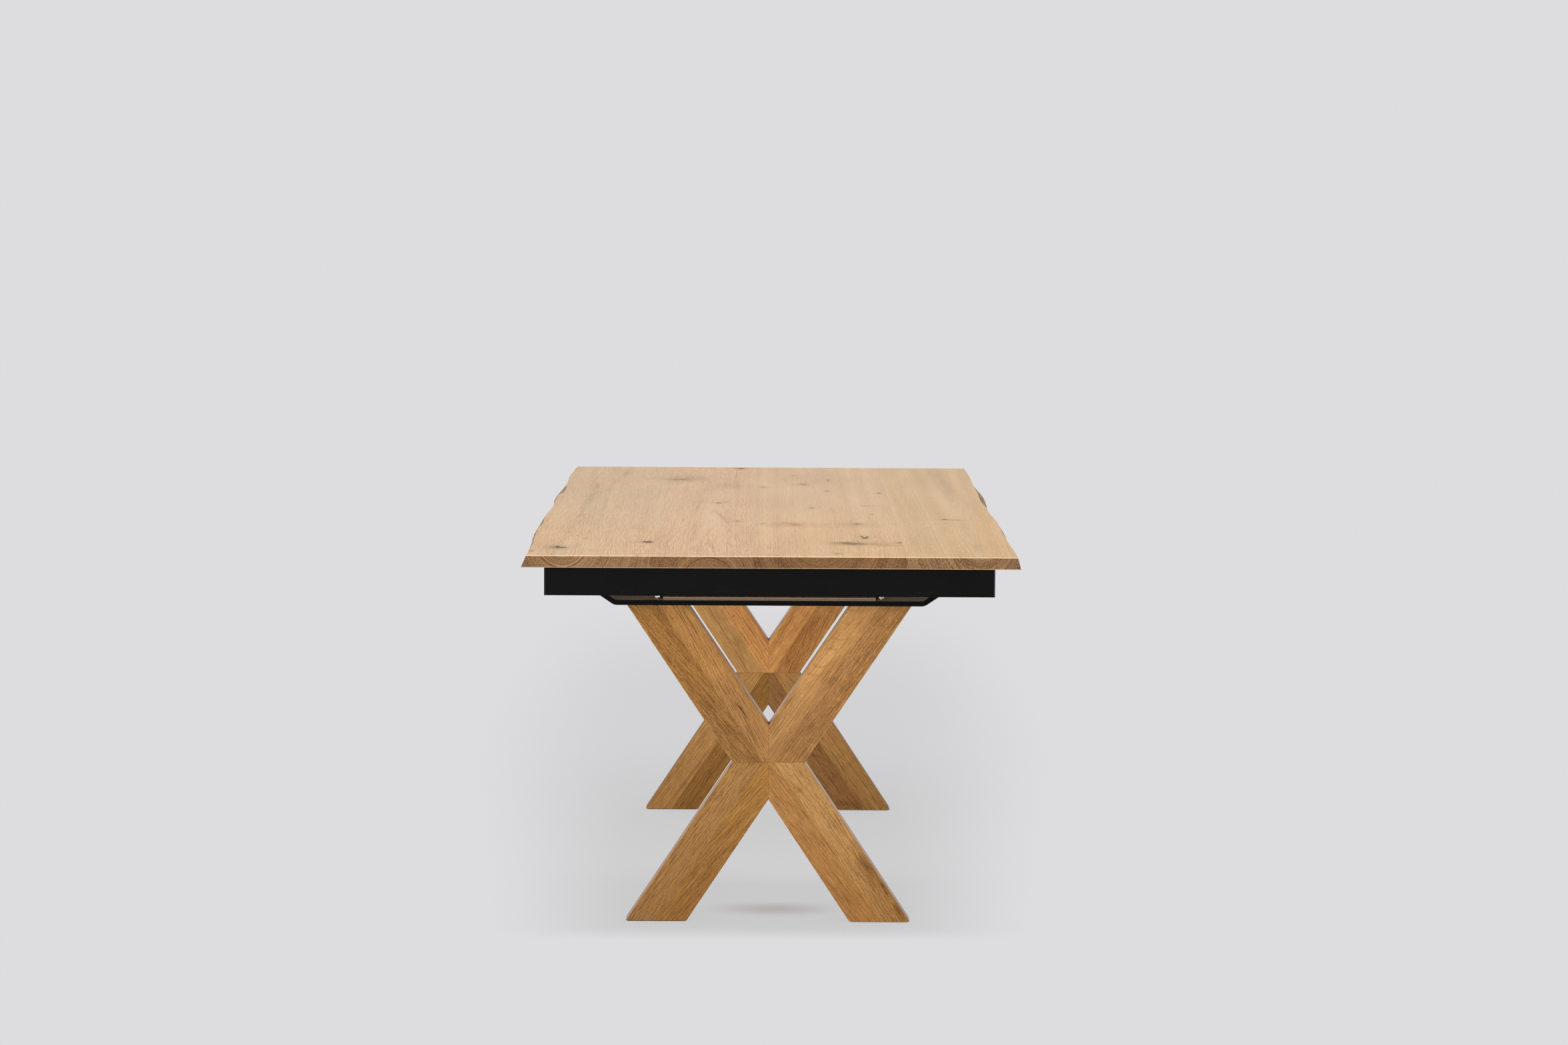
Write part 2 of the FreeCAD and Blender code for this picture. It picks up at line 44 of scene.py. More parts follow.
class Net:
    """Writes the nodes of one tree. A value is a number, a tuple or another node's output."""

    def __init__(self, tree):
        self.tree = tree

    def put(self, socket, value):
        if value is None:
            return
        if isinstance(value, bpy.types.NodeSocket):
            self.tree.links.new(value, socket)
        else:
            socket.default_value = value

    def node(self, kind, values=(), **settings):
        made = self.tree.nodes.new(kind)
        for key, value in settings.items():
            setattr(made, key, value)
        for key, value in dict(values).items():
            self.put(made.inputs[key], value)
        return made

    def math(self, operation, a, b=None, c=None):
        made = self.node("ShaderNodeMath", operation=operation)
        for i, value in enumerate((a, b, c)):
            self.put(made.inputs[i], value)
        return made.outputs[0]

    def add(self, *terms):
        total = terms[0]
        for term in terms[1:]:
            total = self.math("ADD", total, term)
        return total

    def times(self, *factors):
        total = factors[0]
        for factor in factors[1:]:
            total = self.math("MULTIPLY", total, factor)
        return total

    def vec(self, operation, a, b=None, scale=None):
        made = self.node("ShaderNodeVectorMath", operation=operation)
        self.put(made.inputs[0], a)
        self.put(made.inputs[1], b)
        if scale is not None:
            self.put(made.inputs[3], scale)
        return made.outputs["Value" if operation == "DOT_PRODUCT" else "Vector"]

    def split(self, vector):
        made = self.node("ShaderNodeSeparateXYZ", {0: vector})
        return made.outputs[0], made.outputs[1], made.outputs[2]

    def join(self, x, y, z):
        return self.node("ShaderNodeCombineXYZ", {0: x, 1: y, 2: z}).outputs[0]

    def noise(self, point, scale=1.0, detail=2.0, rough=0.5, colour=False):
        made = self.node("ShaderNodeTexNoise",
                         {"Vector": point, "Scale": scale, "Detail": detail, "Roughness": rough})
        return made.outputs[1 if colour else 0]

    def stretched(self, point, scales, detail=2.0, rough=0.5, colour=False):
        """Noise with its own number of features per metre along each axis."""
        return self.noise(self.vec("MULTIPLY", point, scales), detail=detail, rough=rough, colour=colour)

    def noise_1d(self, w, scale=1.0, detail=0.0):
        made = self.node("ShaderNodeTexNoise", {"W": w, "Scale": scale, "Detail": detail},
                         noise_dimensions="1D")
        return made.outputs[0]

    def step(self, value, low, high, out_low=0.0, out_high=1.0):
        """Smoothly from out_low to out_high as value goes from low to high."""
        made = self.node("ShaderNodeMapRange", {"Value": value, "From Min": low, "From Max": high,
                                                "To Min": out_low, "To Max": out_high},
                         interpolation_type="SMOOTHSTEP")
        return made.outputs[0]

    def window(self, value, rise_from, rise_to, fall_from, fall_to):
        """1 between the rise and the fall, 0 outside them."""
        fall = self.step(value, fall_from, fall_to, 1.0, 0.0)
        return self.times(self.step(value, rise_from, rise_to), fall)

    def line(self, value, place, half_width, core):
        """1 within a share, the core, of the half width round a place, and 0 outside the half width."""
        off = self.math("ABSOLUTE", self.math("SUBTRACT", value, place))
        return self.step(off, core * half_width, half_width, 1.0, 0.0)

    def length(self, a, b):
        """The length of the vector (a, b)."""
        return self.math("SQRT", self.add(self.times(a, a), self.times(b, b)))

    def clamp(self, value, low, high):
        return self.math("MAXIMUM", self.math("MINIMUM", value, high), low)

    def seen(self):
        """1 for the camera's rays and for those that show the surroundings in or through a surface."""
        path = self.node("ShaderNodeLightPath")
        mirrored = self.math("MAXIMUM", path.outputs["Is Glossy Ray"], path.outputs["Is Transmission Ray"])
        return self.math("MAXIMUM", path.outputs["Is Camera Ray"], mirrored)

    def blend(self, share, a, b, kind="MIX"):
        made = self.node("ShaderNodeMix", data_type="RGBA", blend_type=kind, clamp_factor=True)
        self.put(made.inputs[0], share)
        self.put(made.inputs[6], a)
        self.put(made.inputs[7], b)
        return made.outputs[2]

    def fade(self, share, a, b):
        made = self.node("ShaderNodeMix", {0: share, 2: a, 3: b}, data_type="FLOAT")
        return made.outputs[0]

    def use(self, group, values):
        made = self.node("ShaderNodeGroup", node_tree=group)
        for key, value in values.items():
            self.put(made.inputs[key], value)
        return made.outputs


KINDS = {"f": "NodeSocketFloat", "v": "NodeSocketVector", "c": "NodeSocketColor"}


def new_group(name, inputs, outputs):
    """An empty node group, its inputs by name, and the node that takes its results."""
    tree = bpy.data.node_groups.new(name, "ShaderNodeTree")
    for label, kind in inputs:
        tree.interface.new_socket(name=label, in_out="INPUT", socket_type=KINDS[kind])
    for label, kind in outputs:
        tree.interface.new_socket(name=label, in_out="OUTPUT", socket_type=KINDS[kind])
    source = tree.nodes.new("NodeGroupInput")
    sink = tree.nodes.new("NodeGroupOutput")
    return Net(tree), {label: source.outputs[label] for label, _ in inputs}, sink


def centred(net, value, size):
    """A 0 to 1 noise value as a swing of the given size about 0."""
    return net.math("MULTIPLY", net.math("SUBTRACT", value, 0.5), size)


# ---------------------------------------------------------------- oak

def make_oak_group():
    """Solid oak: growth rings round a pith, fibres, pores and rays, for any cut through the wood.

    Grain is a point in metres, X across the board, Y along the fibres, Z through it."""
    net, given, sink = new_group("oak", [
        ("Grain", "v"), ("Warp", "v"), ("Seed", "f"), ("Lean", "f"), ("Wiggle", "f"),
        ("Pith X", "f"), ("Pith Z", "f"), ("Spacing", "f"), ("Wander", "f"), ("Taper", "f"),
        ("Ring", "f"), ("Band", "f"), ("Fibre", "f"), ("Streak", "f"), ("Run", "f"), ("Pore", "f"),
        ("Shine", "f"), ("Fleck", "f"), ("End", "f"),
        ("Pale", "c"), ("Deep", "c"), ("End pale", "c"), ("End deep", "c"),
    ], [("Color", "c"), ("Height", "f"), ("Rough", "f")])
    seed = given["Seed"]
    shift = net.join(net.times(seed, 3.1), net.times(seed, 1.7), net.times(seed, 2.3))
    x, y, z = net.split(given["Grain"])
    x = net.add(x, net.times(given["Lean"], y))
    moved = net.vec("ADD", net.join(x, y, z), shift)
    warp_x, _, warp_z = net.split(given["Warp"])

    slow = net.split(net.stretched(moved, (1.5, 0.55, 1.5), detail=1.0, colour=True))
    quick = net.split(net.stretched(moved, (11.0, 1.6, 11.0), detail=2.0, colour=True))
    wave = net.stretched(moved, (7.0, 4.0, 7.0), detail=1.5)
    wave = net.times(centred(net, wave, 2.0), given["Wiggle"])
    wander = given["Wander"]
    swing_x = net.add(net.times(centred(net, slow[0], 2.0), wander),
                      net.times(centred(net, quick[0], 0.35), wander), wave)
    swing_z = net.add(net.times(centred(net, slow[1], 2.0), wander),
                      net.times(centred(net, quick[1], 0.35), wander))
    from_x = net.add(net.math("SUBTRACT", x, given["Pith X"]), swing_x, warp_x)
    from_z = net.add(net.math("SUBTRACT", z, given["Pith Z"]), swing_z)
    radius = net.length(from_x, from_z)
    fine = net.stretched(moved, (70.0, 3.0, 70.0), detail=2.0)
    radius = net.add(radius, net.times(given["Taper"], y), centred(net, fine, 0.0022), warp_z)
    turn = net.math("DIVIDE", radius, given["Spacing"])
    turn = net.add(turn, centred(net, net.noise_1d(net.add(net.times(turn, 0.5), seed)), 1.6))
    part = net.math("FRACT", turn)
    early = net.add(net.step(part, 0.0, 0.5, 1.0, 0.0), net.step(part, 0.9, 1.0))
    late = net.window(part, 0.45, 0.65, 0.75, 0.9)
    year = net.noise_1d(net.add(net.math("FLOOR", turn), seed), scale=0.73)
    early = net.times(early, net.step(year, 0.25, 0.75, 0.35, 1.15))
    broad = net.noise_1d(net.add(net.times(radius, 46.0), seed), detail=1.0)

    lean = net.add(centred(net, quick[2], 0.020), net.times(warp_x, 0.8), wave)
    strand = net.vec("ADD", moved, net.join(lean, 0.0, 0.0))
    strand = net.vec("MULTIPLY", strand, net.join(1.0, net.math("DIVIDE", 1.0, given["Run"]), 1.0))
    fibre = net.stretched(strand, (760.0, 30.0, 760.0), detail=2.0, rough=0.65)
    streak = net.stretched(strand, (560.0, 15.0, 560.0), detail=2.0)
    nap = net.stretched(moved, (1500.0, 260.0, 1500.0), detail=0.0)
    dash = net.stretched(strand, (1050.0, 55.0, 1050.0), detail=1.0)
    glint = net.stretched(strand, (1000.0, 50.0, 1000.0), detail=1.0)
    patch = net.stretched(moved, (38.0, 9.0, 38.0), detail=2.0)
    pores = net.times(net.step(dash, 0.50, 0.70), net.add(0.45, net.times(0.55, early)),
                      net.step(patch, 0.3, 0.7, 0.45, 1.2))
    angle = net.math("ARCTAN2", from_x, from_z)
    ray_point = net.join(net.times(angle, 55.0), net.times(y, 95.0), net.times(radius, 60.0))
    rays = net.step(net.noise(net.vec("ADD", ray_point, shift), detail=1.0), 0.58, 0.72)
    cloud = net.stretched(moved, (14.0, 2.2, 14.0), detail=3.0)

    rings = net.add(net.times(early, -0.50), net.times(late, 0.30))
    fibres = net.add(centred(net, fibre, -2.4), centred(net, nap, -1.0))
    streaks = net.times(net.step(streak, 0.54, 0.70, 0.0, -0.75), net.step(patch, 0.35, 0.65))
    glints = net.step(glint, 0.52, 0.70, 0.0, 0.62)
    bands = net.add(centred(net, broad, 1.0), centred(net, cloud, 2.0))
    tone = net.add(0.60, net.times(rings, given["Ring"]), net.times(fibres, given["Fibre"]),
                   net.times(streaks, given["Streak"]), net.times(glints, given["Shine"]),
                   net.times(bands, given["Band"]))
    face = net.blend(net.clamp(tone, -0.15, 1.15), given["Deep"], given["Pale"])
    face = net.blend(net.times(pores, given["Pore"], 0.62), face,
                     net.blend(1.0, given["Deep"], (0.58, 0.48, 0.38, 1.0), "MULTIPLY"))
    face = net.blend(net.times(rays, given["Fleck"]), face,
                     net.blend(1.0, face, (1.20, 1.18, 1.14, 1.0), "MULTIPLY"))

    ray_end = net.join(net.times(angle, 90.0), seed, net.times(radius, 40.0))
    end_rays = net.step(net.noise(ray_end, detail=2.0), 0.50, 0.70)
    grit = net.stretched(moved, (900.0, 20.0, 900.0), detail=2.0)
    end_tone = net.add(0.62, net.times(early, -0.50), net.times(late, 0.16), centred(net, grit, -3.6),
                       centred(net, broad, 0.75), centred(net, cloud, 0.8), net.times(end_rays, 0.30))
    end = net.blend(net.clamp(end_tone, -0.1, 1.1), given["End deep"], given["End pale"])
    net.put(sink.inputs["Color"], net.blend(given["End"], face, end))
    net.put(sink.inputs["Height"], net.add(net.times(tone, 0.6), net.times(pores, -0.7)))
    net.put(sink.inputs["Rough"], net.add(0.50, net.times(early, 0.08), centred(net, cloud, 0.12)))
    return net.tree


def spot(net, point, place_x, place_y, half_x, half_y, turn):
    """The point as seen from an ellipse through the board, 1 at its rim, and its squared distance."""
    local = net.node("ShaderNodeMapping", {
        "Vector": point, "Location": (place_x * MM, place_y * MM, 0.0), "Rotation": (0.0, 0.0, turn),
        "Scale": (half_x * MM, half_y * MM, 1000.0)}, vector_type="TEXTURE").outputs[0]
    return local, net.vec("DOT_PRODUCT", local, local)


def knots(net, point, marks):
    """Knots and dark flecks: the grain's deflection round them, and the reach, 0 at a knot's heart."""
    push_x, push_z, reach = 0.0, 0.0, 50.0
    for mark_x, mark_y, half_x, half_y, turn, core in marks:
        local, d2 = spot(net, point, mark_x, mark_y, half_x, half_y, turn)
        near = net.math("EXPONENT", net.times(d2, -0.30))
        push_x = net.math("MULTIPLY_ADD", net.times(net.split(local)[0], near), -0.7 * half_x * MM, push_x)
        push_z = net.math("MULTIPLY_ADD", near, 0.25 * half_x * MM, push_z)
        reach = net.math("MINIMUM", reach, net.add(d2, 1.5 - 1.5 * core))
    return net.join(push_x, 0.0, push_z), reach


OAK = make_oak_group()
GLUE_TONE = (0.84, 0.80, 0.75, 1.0)
GLUE_HALF_WIDTH = 0.6           # mm
KNOT_HALO = (0.72, 0.64, 0.55, 1.0)
KNOT_RIM = (0.52, 0.42, 0.33, 1.0)
BARK_RIM = (0.74, 0.76, 0.80, 1.0)
CURL_FADE = 20.0                # mm


def new_material(name):
    material = bpy.data.materials.new(name)
    material.use_nodes = True
    material.node_tree.nodes.clear()
    return material, Net(material.node_tree)


def finish_material(net, values, bump, distance, bevel=0.0):
    """The surface shader, with a bump height and, where a bevel is given, softened arrises."""
    shader = net.node("ShaderNodeBsdfPrincipled", values)
    normal = None
    if bevel:
        normal = net.node("ShaderNodeBevel", {"Radius": bevel}, samples=4).outputs[0]
    bumped = net.node("ShaderNodeBump", {"Height": bump, "Distance": distance, "Strength": 1.0,
                                         "Normal": normal})
    net.put(shader.inputs["Normal"], bumped.outputs[0])
    net.node("ShaderNodeOutputMaterial", {"Surface": shader.outputs[0]})


def grain_frame(net, origin, across, along):
    """Object coordinates turned so that X runs across the board and Y along its fibres."""
    coordinates = net.node("ShaderNodeTexCoord")
    across, along = Vector(across), Vector(along)
    turn = Matrix((across, along, across.cross(along))).transposed().to_euler()
    mapping = net.node("ShaderNodeMapping", {"Vector": coordinates.outputs["Object"],
                                             "Location": tuple(origin), "Rotation": tuple(turn)},
                       vector_type="TEXTURE")
    end = net.math("ABSOLUTE", net.vec("DOT_PRODUCT", coordinates.outputs["Normal"], tuple(along)))
    return mapping.outputs[0], net.step(end, 0.74, 0.90), coordinates


def oak_material(name, origin, across, along, wood, marks=(), stains=(), strips=(), bark=0,
                 fades=(), seams=(), arcs=(), cracks=(), curls=()):
    """One board or beam. Lengths in mm, places in the grain frame unless they say otherwise.

    wood: a dictionary. seed; pith, its (x, z); spacing, wander, wiggle and taper of the rings; ragged, how
    uneven a knot's outline is; the strengths ring, band, fibre, streak, pore, shine and fleck; run, the
    stretch of the fibres; calm, the share of ring, fibre, pore and shine that is left past y = 300; gloss;
    the colours pale, deep, end_pale, end_deep and knot; arris_highlight, the tone of a painted highlight on
    the upper bevels at the ends; flank, the gloss, roughness and painted sheen, a lightening tone, of the
    faces that show neither to the front nor to the back, or None.
    marks: knots as (x, y, half width, half length, turn, core).
    stains: soft, as (x, y, half width, half length, turn, strength, tone).
    strips: glued strips as (x where it starts, tone, seed step, lean of the grain, strength of the
    fibres), from low x.
    bark: the side of the board with the live edge, -1 or 1 along object X (0 for none).
    fades: the colour multiplied by a tone from one y to another, as (from, to, tone).
    seams: thin glue lines as (object axis 0..2, place, half width, tone).
    arcs: rings on the end grain round the pith, as (radius, half width, tone).
    cracks: lines on the end grain, as (x at z0, z0, x at z1, z1, half width, tone).
    curls: rays cut lengthwise, thin curved lines across the grain, as (x where they start, width they
    cross, from y, to y, spacing, rise, bend, tone)."""
    material, net = new_material(name)
    grain, end, coordinates = grain_frame(net, origin, across, along)
    x, y, z = net.split(grain)
    ragged = net.stretched(grain, (150.0, 70.0, 150.0), detail=4.0, colour=True)
    ragged = net.vec("SUBTRACT", ragged, (0.5, 0.5, 0.5))
    ragged = net.vec("SCALE", ragged, scale=wood["ragged"] * MM)
    warp, reach = knots(net, net.vec("ADD", grain, ragged), marks)

    seed, lean, fibre, tint = wood["seed"], 0.0, wood["fibre"], None
    for start, tone, seed_step, strip_lean, strip_fibre in strips:
        if tint is None:
            lean, fibre, tint = strip_lean, strip_fibre, tone
            continue
        past = net.math("GREATER_THAN", x, start * MM)
        seed = net.add(seed, net.times(past, seed_step))
        lean = net.fade(past, lean, strip_lean)
        fibre = net.fade(past, fibre, strip_fibre)
        tint = net.blend(past, tint, tone)
    calm = net.step(y, -0.9, 0.3, 1.0, wood["calm"])
    made = net.use(OAK, {
        "Grain": grain, "Warp": warp, "Seed": seed, "Lean": lean, "Wiggle": wood["wiggle"] * MM,
        "Streak": wood["streak"], "Run": wood["run"],
        "Pith X": wood["pith"][0] * MM, "Pith Z": wood["pith"][1] * MM,
        "Spacing": wood["spacing"] * MM, "Wander": wood["wander"] * MM, "Taper": wood["taper"],
        "Ring": net.times(wood["ring"], calm), "Band": wood["band"],
        "Fibre": net.times(fibre, calm), "Pore": net.times(wood["pore"], calm),
        "Shine": net.times(wood["shine"], calm),
        "Fleck": wood["fleck"], "End": end, "Pale": wood["pale"], "Deep": wood["deep"],
        "End pale": wood["end_pale"], "End deep": wood["end_deep"],
    })
    colour = made["Color"]

    def tone_by(share, tone):
        return net.blend(share, colour, net.blend(1.0, colour, tone, "MULTIPLY"))

    if tint is not None:
        colour = tone_by(1.0, tint)
    for start, stop, tone in fades:
        colour = tone_by(net.step(y, start * MM, stop * MM), tone)
    for strip in strips[1:]:
        colour = tone_by(net.line(x, strip[0] * MM, GLUE_HALF_WIDTH * MM, 1.0 / 3.0), GLUE_TONE)
    smoke = net.stretched(grain, (45.0, 9.0, 45.0), detail=3.0)
    for stain_x, stain_y, half_x, half_y, turn, strength, tone in stains:
        _, d2 = spot(net, grain, stain_x, stain_y, half_x, half_y, turn)
        share = net.times(net.math("EXPONENT", net.times(d2, -0.55)), strength)
        colour = tone_by(net.times(share, net.step(smoke, 0.25, 0.7, 0.35, 1.0)), tone)
    if marks:
        dark = net.step(reach, 0.2, 1.5, 1.0, 0.0)
        crack = net.step(net.stretched(grain, (260.0, 120.0, 260.0), detail=2.0), 0.35, 0.6)
        heart = net.times(net.step(dark, 0.55, 0.95), net.fade(crack, 1.0, 0.6))
        colour = tone_by(net.math("EXPONENT", net.times(reach, -0.7)), KNOT_HALO)
        colour = tone_by(net.times(dark, net.fade(crack, 1.0, 0.75)), KNOT_RIM)
        colour = net.blend(heart, colour, wood["knot"])
    for radius, half_width, tone in arcs:
        from_x = net.math("SUBTRACT", x, wood["pith"][0] * MM)
        from_z = net.math("SUBTRACT", z, wood["pith"][1] * MM)
        out = net.add(net.length(from_x, from_z), centred(net, smoke, 0.004))
        colour = tone_by(net.times(net.line(out, radius * MM, half_width * MM, 0.4), end), tone)
    for x0, z0, x1, z1, half_width, tone in cracks:
        slope = (x1 - x0) / (z1 - z0)
        place = net.add(net.times(z, slope), (x0 - slope * z0) * MM)
        colour = tone_by(net.times(net.line(x, place, half_width * MM, 0.4), end), tone)
    for axis, place, half_width, tone in seams:
        at = net.split(coordinates.outputs["Object"])[axis]
        colour = tone_by(net.line(at, place * MM, half_width * MM, 0.5), tone)
    for edge, width, start, stop, spacing, rise, bend, tone in curls:
        share = net.math("DIVIDE", net.math("SUBTRACT", x, edge * MM), width * MM)
        bent = net.math("POWER", net.math("MAXIMUM", share, 0.0), 3.0)
        run = net.math("SUBTRACT", y, net.add(net.times(share, rise * MM), net.times(bent, bend * MM)))
        run = net.add(run, centred(net, smoke, 0.006))
        wave = net.noise_1d(net.times(run, 1.0 / (spacing * MM)), detail=1.0)
        inner_start = start + CURL_FADE
        inner_stop = stop - CURL_FADE
        zone = net.times(net.window(share, 0.0, 0.15, 0.7, 1.05),
                         net.window(y, start * MM, inner_start * MM, inner_stop * MM, stop * MM))
        broken = net.step(smoke, 0.3, 0.6, 0.4, 1.0)
        colour = tone_by(net.times(net.step(wave, 0.54, 0.66), zone, broken), tone)
    # painted highlight: the upper bevels at the ends of a board are lightened by the wood's arris tone
    _, normal_y, normal_z = net.split(coordinates.outputs["Normal"])
    slant = net.times(net.math("ABSOLUTE", normal_y), normal_z)
    colour = tone_by(net.step(slant, 0.3, 0.45), wood["arris_highlight"])
    height = made["Height"]
    roughness = made["Rough"]
    if marks:
        height = net.add(height, net.times(dark, -1.2))
    if bark:
        rim = net.step(net.math("ABSOLUTE", x), 0.428, 0.463)
        colour = tone_by(net.times(rim, end), BARK_RIM)
        facing = net.vec("DOT_PRODUCT", coordinates.outputs["Normal"], (float(bark), 0.0, 0.0))
        side = net.step(facing, 0.35, 0.75)
        ridge = net.stretched(grain, (40.0, 14.0, 210.0), detail=4.0, rough=0.62)
        patch = net.stretched(grain, (9.0, 6.0, 30.0), detail=3.0)
        skin = net.blend(net.step(ridge, 0.3, 0.7), srgb(128, 106, 82), srgb(190, 166, 136))
        skin = net.blend(net.times(net.step(patch, 0.5, 0.68), 0.6), skin, srgb(112, 98, 80))
        colour = net.blend(side, colour, skin)
        height = net.add(height, net.times(side, ridge, 6.0))
        roughness = net.fade(side, roughness, 0.82)
    gloss = wood["gloss"]
    if wood["flank"]:
        # painted sheen: faces that show neither to the front nor to the back take the flank's lightening
        # tone
        flank = net.step(net.math("ABSOLUTE", normal_y), 0.5, 0.95, 1.0, 0.0)
        colour = tone_by(flank, wood["flank"]["tone"])
        gloss = net.fade(flank, gloss, wood["flank"]["gloss"])
        roughness = net.times(roughness, net.fade(flank, 1.0, wood["flank"]["rough"]))
    finish_material(net, {"Base Color": colour, "Roughness": roughness, "Specular IOR Level": gloss},
                    bump=height, distance=0.0003, bevel=0.0008)
    return material


# ---------------------------------------------------------------- metal, plastic, felt, shelf

def powder_coat(name, seed, scuffs, dust_and_reflection):
    """Fine-textured black powder coat with specks and faint rubs, and on level faces a dusty film with a
    painted reflection.
    """
    material, net = new_material(name)
    coordinates = net.node("ShaderNodeTexCoord")
    place = coordinates.outputs["Object"]
    moved = net.vec("ADD", place, (seed * 0.37, seed * 0.91, seed * 0.53))
    orange = net.noise(moved, scale=900.0, detail=2.0)
    cloud = net.noise(moved, scale=9.0, detail=3.0)
    rub = net.stretched(moved, (14.0, 14.0, 60.0), detail=4.0, rough=0.7)
    rub = net.times(net.step(rub, 0.62, 0.80), scuffs)
    dots = net.node("ShaderNodeTexVoronoi", {"Vector": moved, "Scale": 26.0})
    pick = net.math("GREATER_THAN", net.split(dots.outputs["Color"])[0], 0.955)
    speck = net.times(net.step(dots.outputs["Distance"], 0.012, 0.035, 1.0, 0.0), pick, scuffs)
    dark, pale = (0.0020, 0.0020, 0.0021, 1.0), (0.0034, 0.0033, 0.0032, 1.0)
    colour = net.blend(net.step(cloud, 0.3, 0.7), dark, pale)
    colour = net.blend(net.times(rub, 0.5), colour, (0.022, 0.021, 0.020, 1.0))
    colour = net.blend(speck, colour, (0.16, 0.15, 0.14, 1.0))
    if dust_and_reflection:
        # a dusty film with a painted reflection lightens the level faces
        up = net.step(net.split(coordinates.outputs["Normal"])[2], 0.6, 0.8)
        dust_and_reflection_patches = net.step(net.stretched(moved, (30.0, 60.0, 30.0), detail=4.0), 0.3, 0.7, 0.75, 1.0)
        # the dusty film with its painted reflection is brownish where the shelf lies over the bow, and bluer
        # past the ends of the shelf
        past_shelf = net.step(net.math("ABSOLUTE", net.split(place)[0]), 0.236, 0.244)
        powder = net.blend(past_shelf, (0.50, 0.44, 0.38, 1.0), (0.46, 0.53, 0.60, 1.0))
        colour = net.blend(net.times(up, dust_and_reflection_patches, dust_and_reflection), colour, powder)
    rough = net.add(0.50, centred(net, cloud, 0.10), net.times(rub, 0.12))
    finish_material(net, {"Base Color": colour, "Roughness": rough, "Specular IOR Level": 0.055},
                    bump=orange, distance=0.00006, bevel=0.0009)
    return material


def black_plastic():
    material, net = new_material("black_plastic")
    place = net.node("ShaderNodeTexCoord").outputs["Object"]
    grit = net.noise(place, scale=1500.0, detail=2.0)
    cloud = net.noise(place, scale=30.0, detail=2.0)
    colour = net.blend(cloud, (0.0055, 0.0055, 0.0058, 1.0), (0.0095, 0.0092, 0.0090, 1.0))
    finish_material(net, {"Base Color": colour, "Roughness": net.add(0.5, centred(net, cloud, 0.15)),
                          "Specular IOR Level": 0.3},
                    bump=grit, distance=0.00005, bevel=0.0006)
    return material


def zinc():
    """Bright zinc plate with mottling and turning marks."""
    material, net = new_material("zinc_steel")
    place = net.node("ShaderNodeTexCoord").outputs["Object"]
    mottle = net.noise(place, scale=240.0, detail=3.0)
    turned = net.stretched(place, (260.0, 260.0, 2600.0), detail=1.0)
    colour = net.blend(net.step(mottle, 0.35, 0.65), (0.20, 0.20, 0.195, 1.0), (0.58, 0.57, 0.54, 1.0))
    finish_material(net, {"Base Color": colour, "Metallic": 1.0,
                          "Roughness": net.add(0.24, centred(net, mottle, 0.2))},
                    bump=turned, distance=0.00003, bevel=0.0005)
    return material


def felt():
    """Pressed wool: matted fibres in every direction."""
    material, net = new_material("felt")
    place = net.node("ShaderNodeTexCoord").outputs["Object"]
    long_x = net.stretched(place, (350.0, 2600.0, 1400.0), detail=2.0)
    long_y = net.stretched(place, (2600.0, 350.0, 1400.0), detail=2.0)
    mat = net.math("MAXIMUM", long_x, long_y)
    tuft = net.noise(place, scale=160.0, detail=2.0)
    colour = net.blend(net.step(mat, 0.42, 0.72), (0.018, 0.018, 0.019, 1.0), (0.085, 0.083, 0.082, 1.0))
    colour = net.blend(net.times(tuft, 0.4), colour, (0.05, 0.048, 0.046, 1.0))
    finish_material(net, {"Base Color": colour, "Roughness": 0.95, "Sheen Weight": 0.25,
                          "Specular IOR Level": 0.1},
                    bump=mat, distance=0.0005)
    return material


def shelf_board():
    """Thin board with brown oak veneer on its faces, and an edge of core under a painted highlight: a pale
    line along its top.
    """
    material, net = new_material("shelf_board")
    coordinates = net.node("ShaderNodeTexCoord")
    place = coordinates.outputs["Object"]
    _, _, z = net.split(place)
    grain = net.stretched(place, (260.0, 7.0, 260.0), detail=3.0, rough=0.6)
    flame = net.stretched(place, (22.0, 1.4, 22.0), detail=3.0)
    line = net.math("FRACT", net.times(flame, 14.0))
    face = net.blend(net.step(line, 0.0, 0.6), srgb(104, 80, 58), srgb(140, 112, 86))
    face = net.blend(centred(net, grain, 1.2), face, srgb(86, 66, 48))
    up = net.math("ABSOLUTE", net.split(coordinates.outputs["Normal"])[2])
    _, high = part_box("leaf_shelf")
    # painted highlight: a pale line along the top millimetre of the edge
    skin = net.step(z, high.z - 0.0012, high.z - 0.0006)
    core = net.stretched(place, (500.0, 500.0, 900.0), detail=3.0)
    edge = net.blend(net.step(core, 0.3, 0.7), srgb(121, 102, 81), srgb(147, 126, 99))
    edge = net.blend(skin, edge, srgb(206, 186, 164))
    colour = net.blend(net.step(up, 0.4, 0.8), edge, face)
    finish_material(net, {"Base Color": colour, "Roughness": net.add(0.55, centred(net, grain, 0.2)),
                          "Specular IOR Level": 0.3},
                    bump=grain, distance=0.0001, bevel=0.0004)
    return material


def give(node, material):
    """The CAD node's own material slots take the material."""
    slots = NODES[node].data.materials
    for i in range(len(slots)):
        slots[i] = material


# ---------------------------------------------------------------- the top's boards

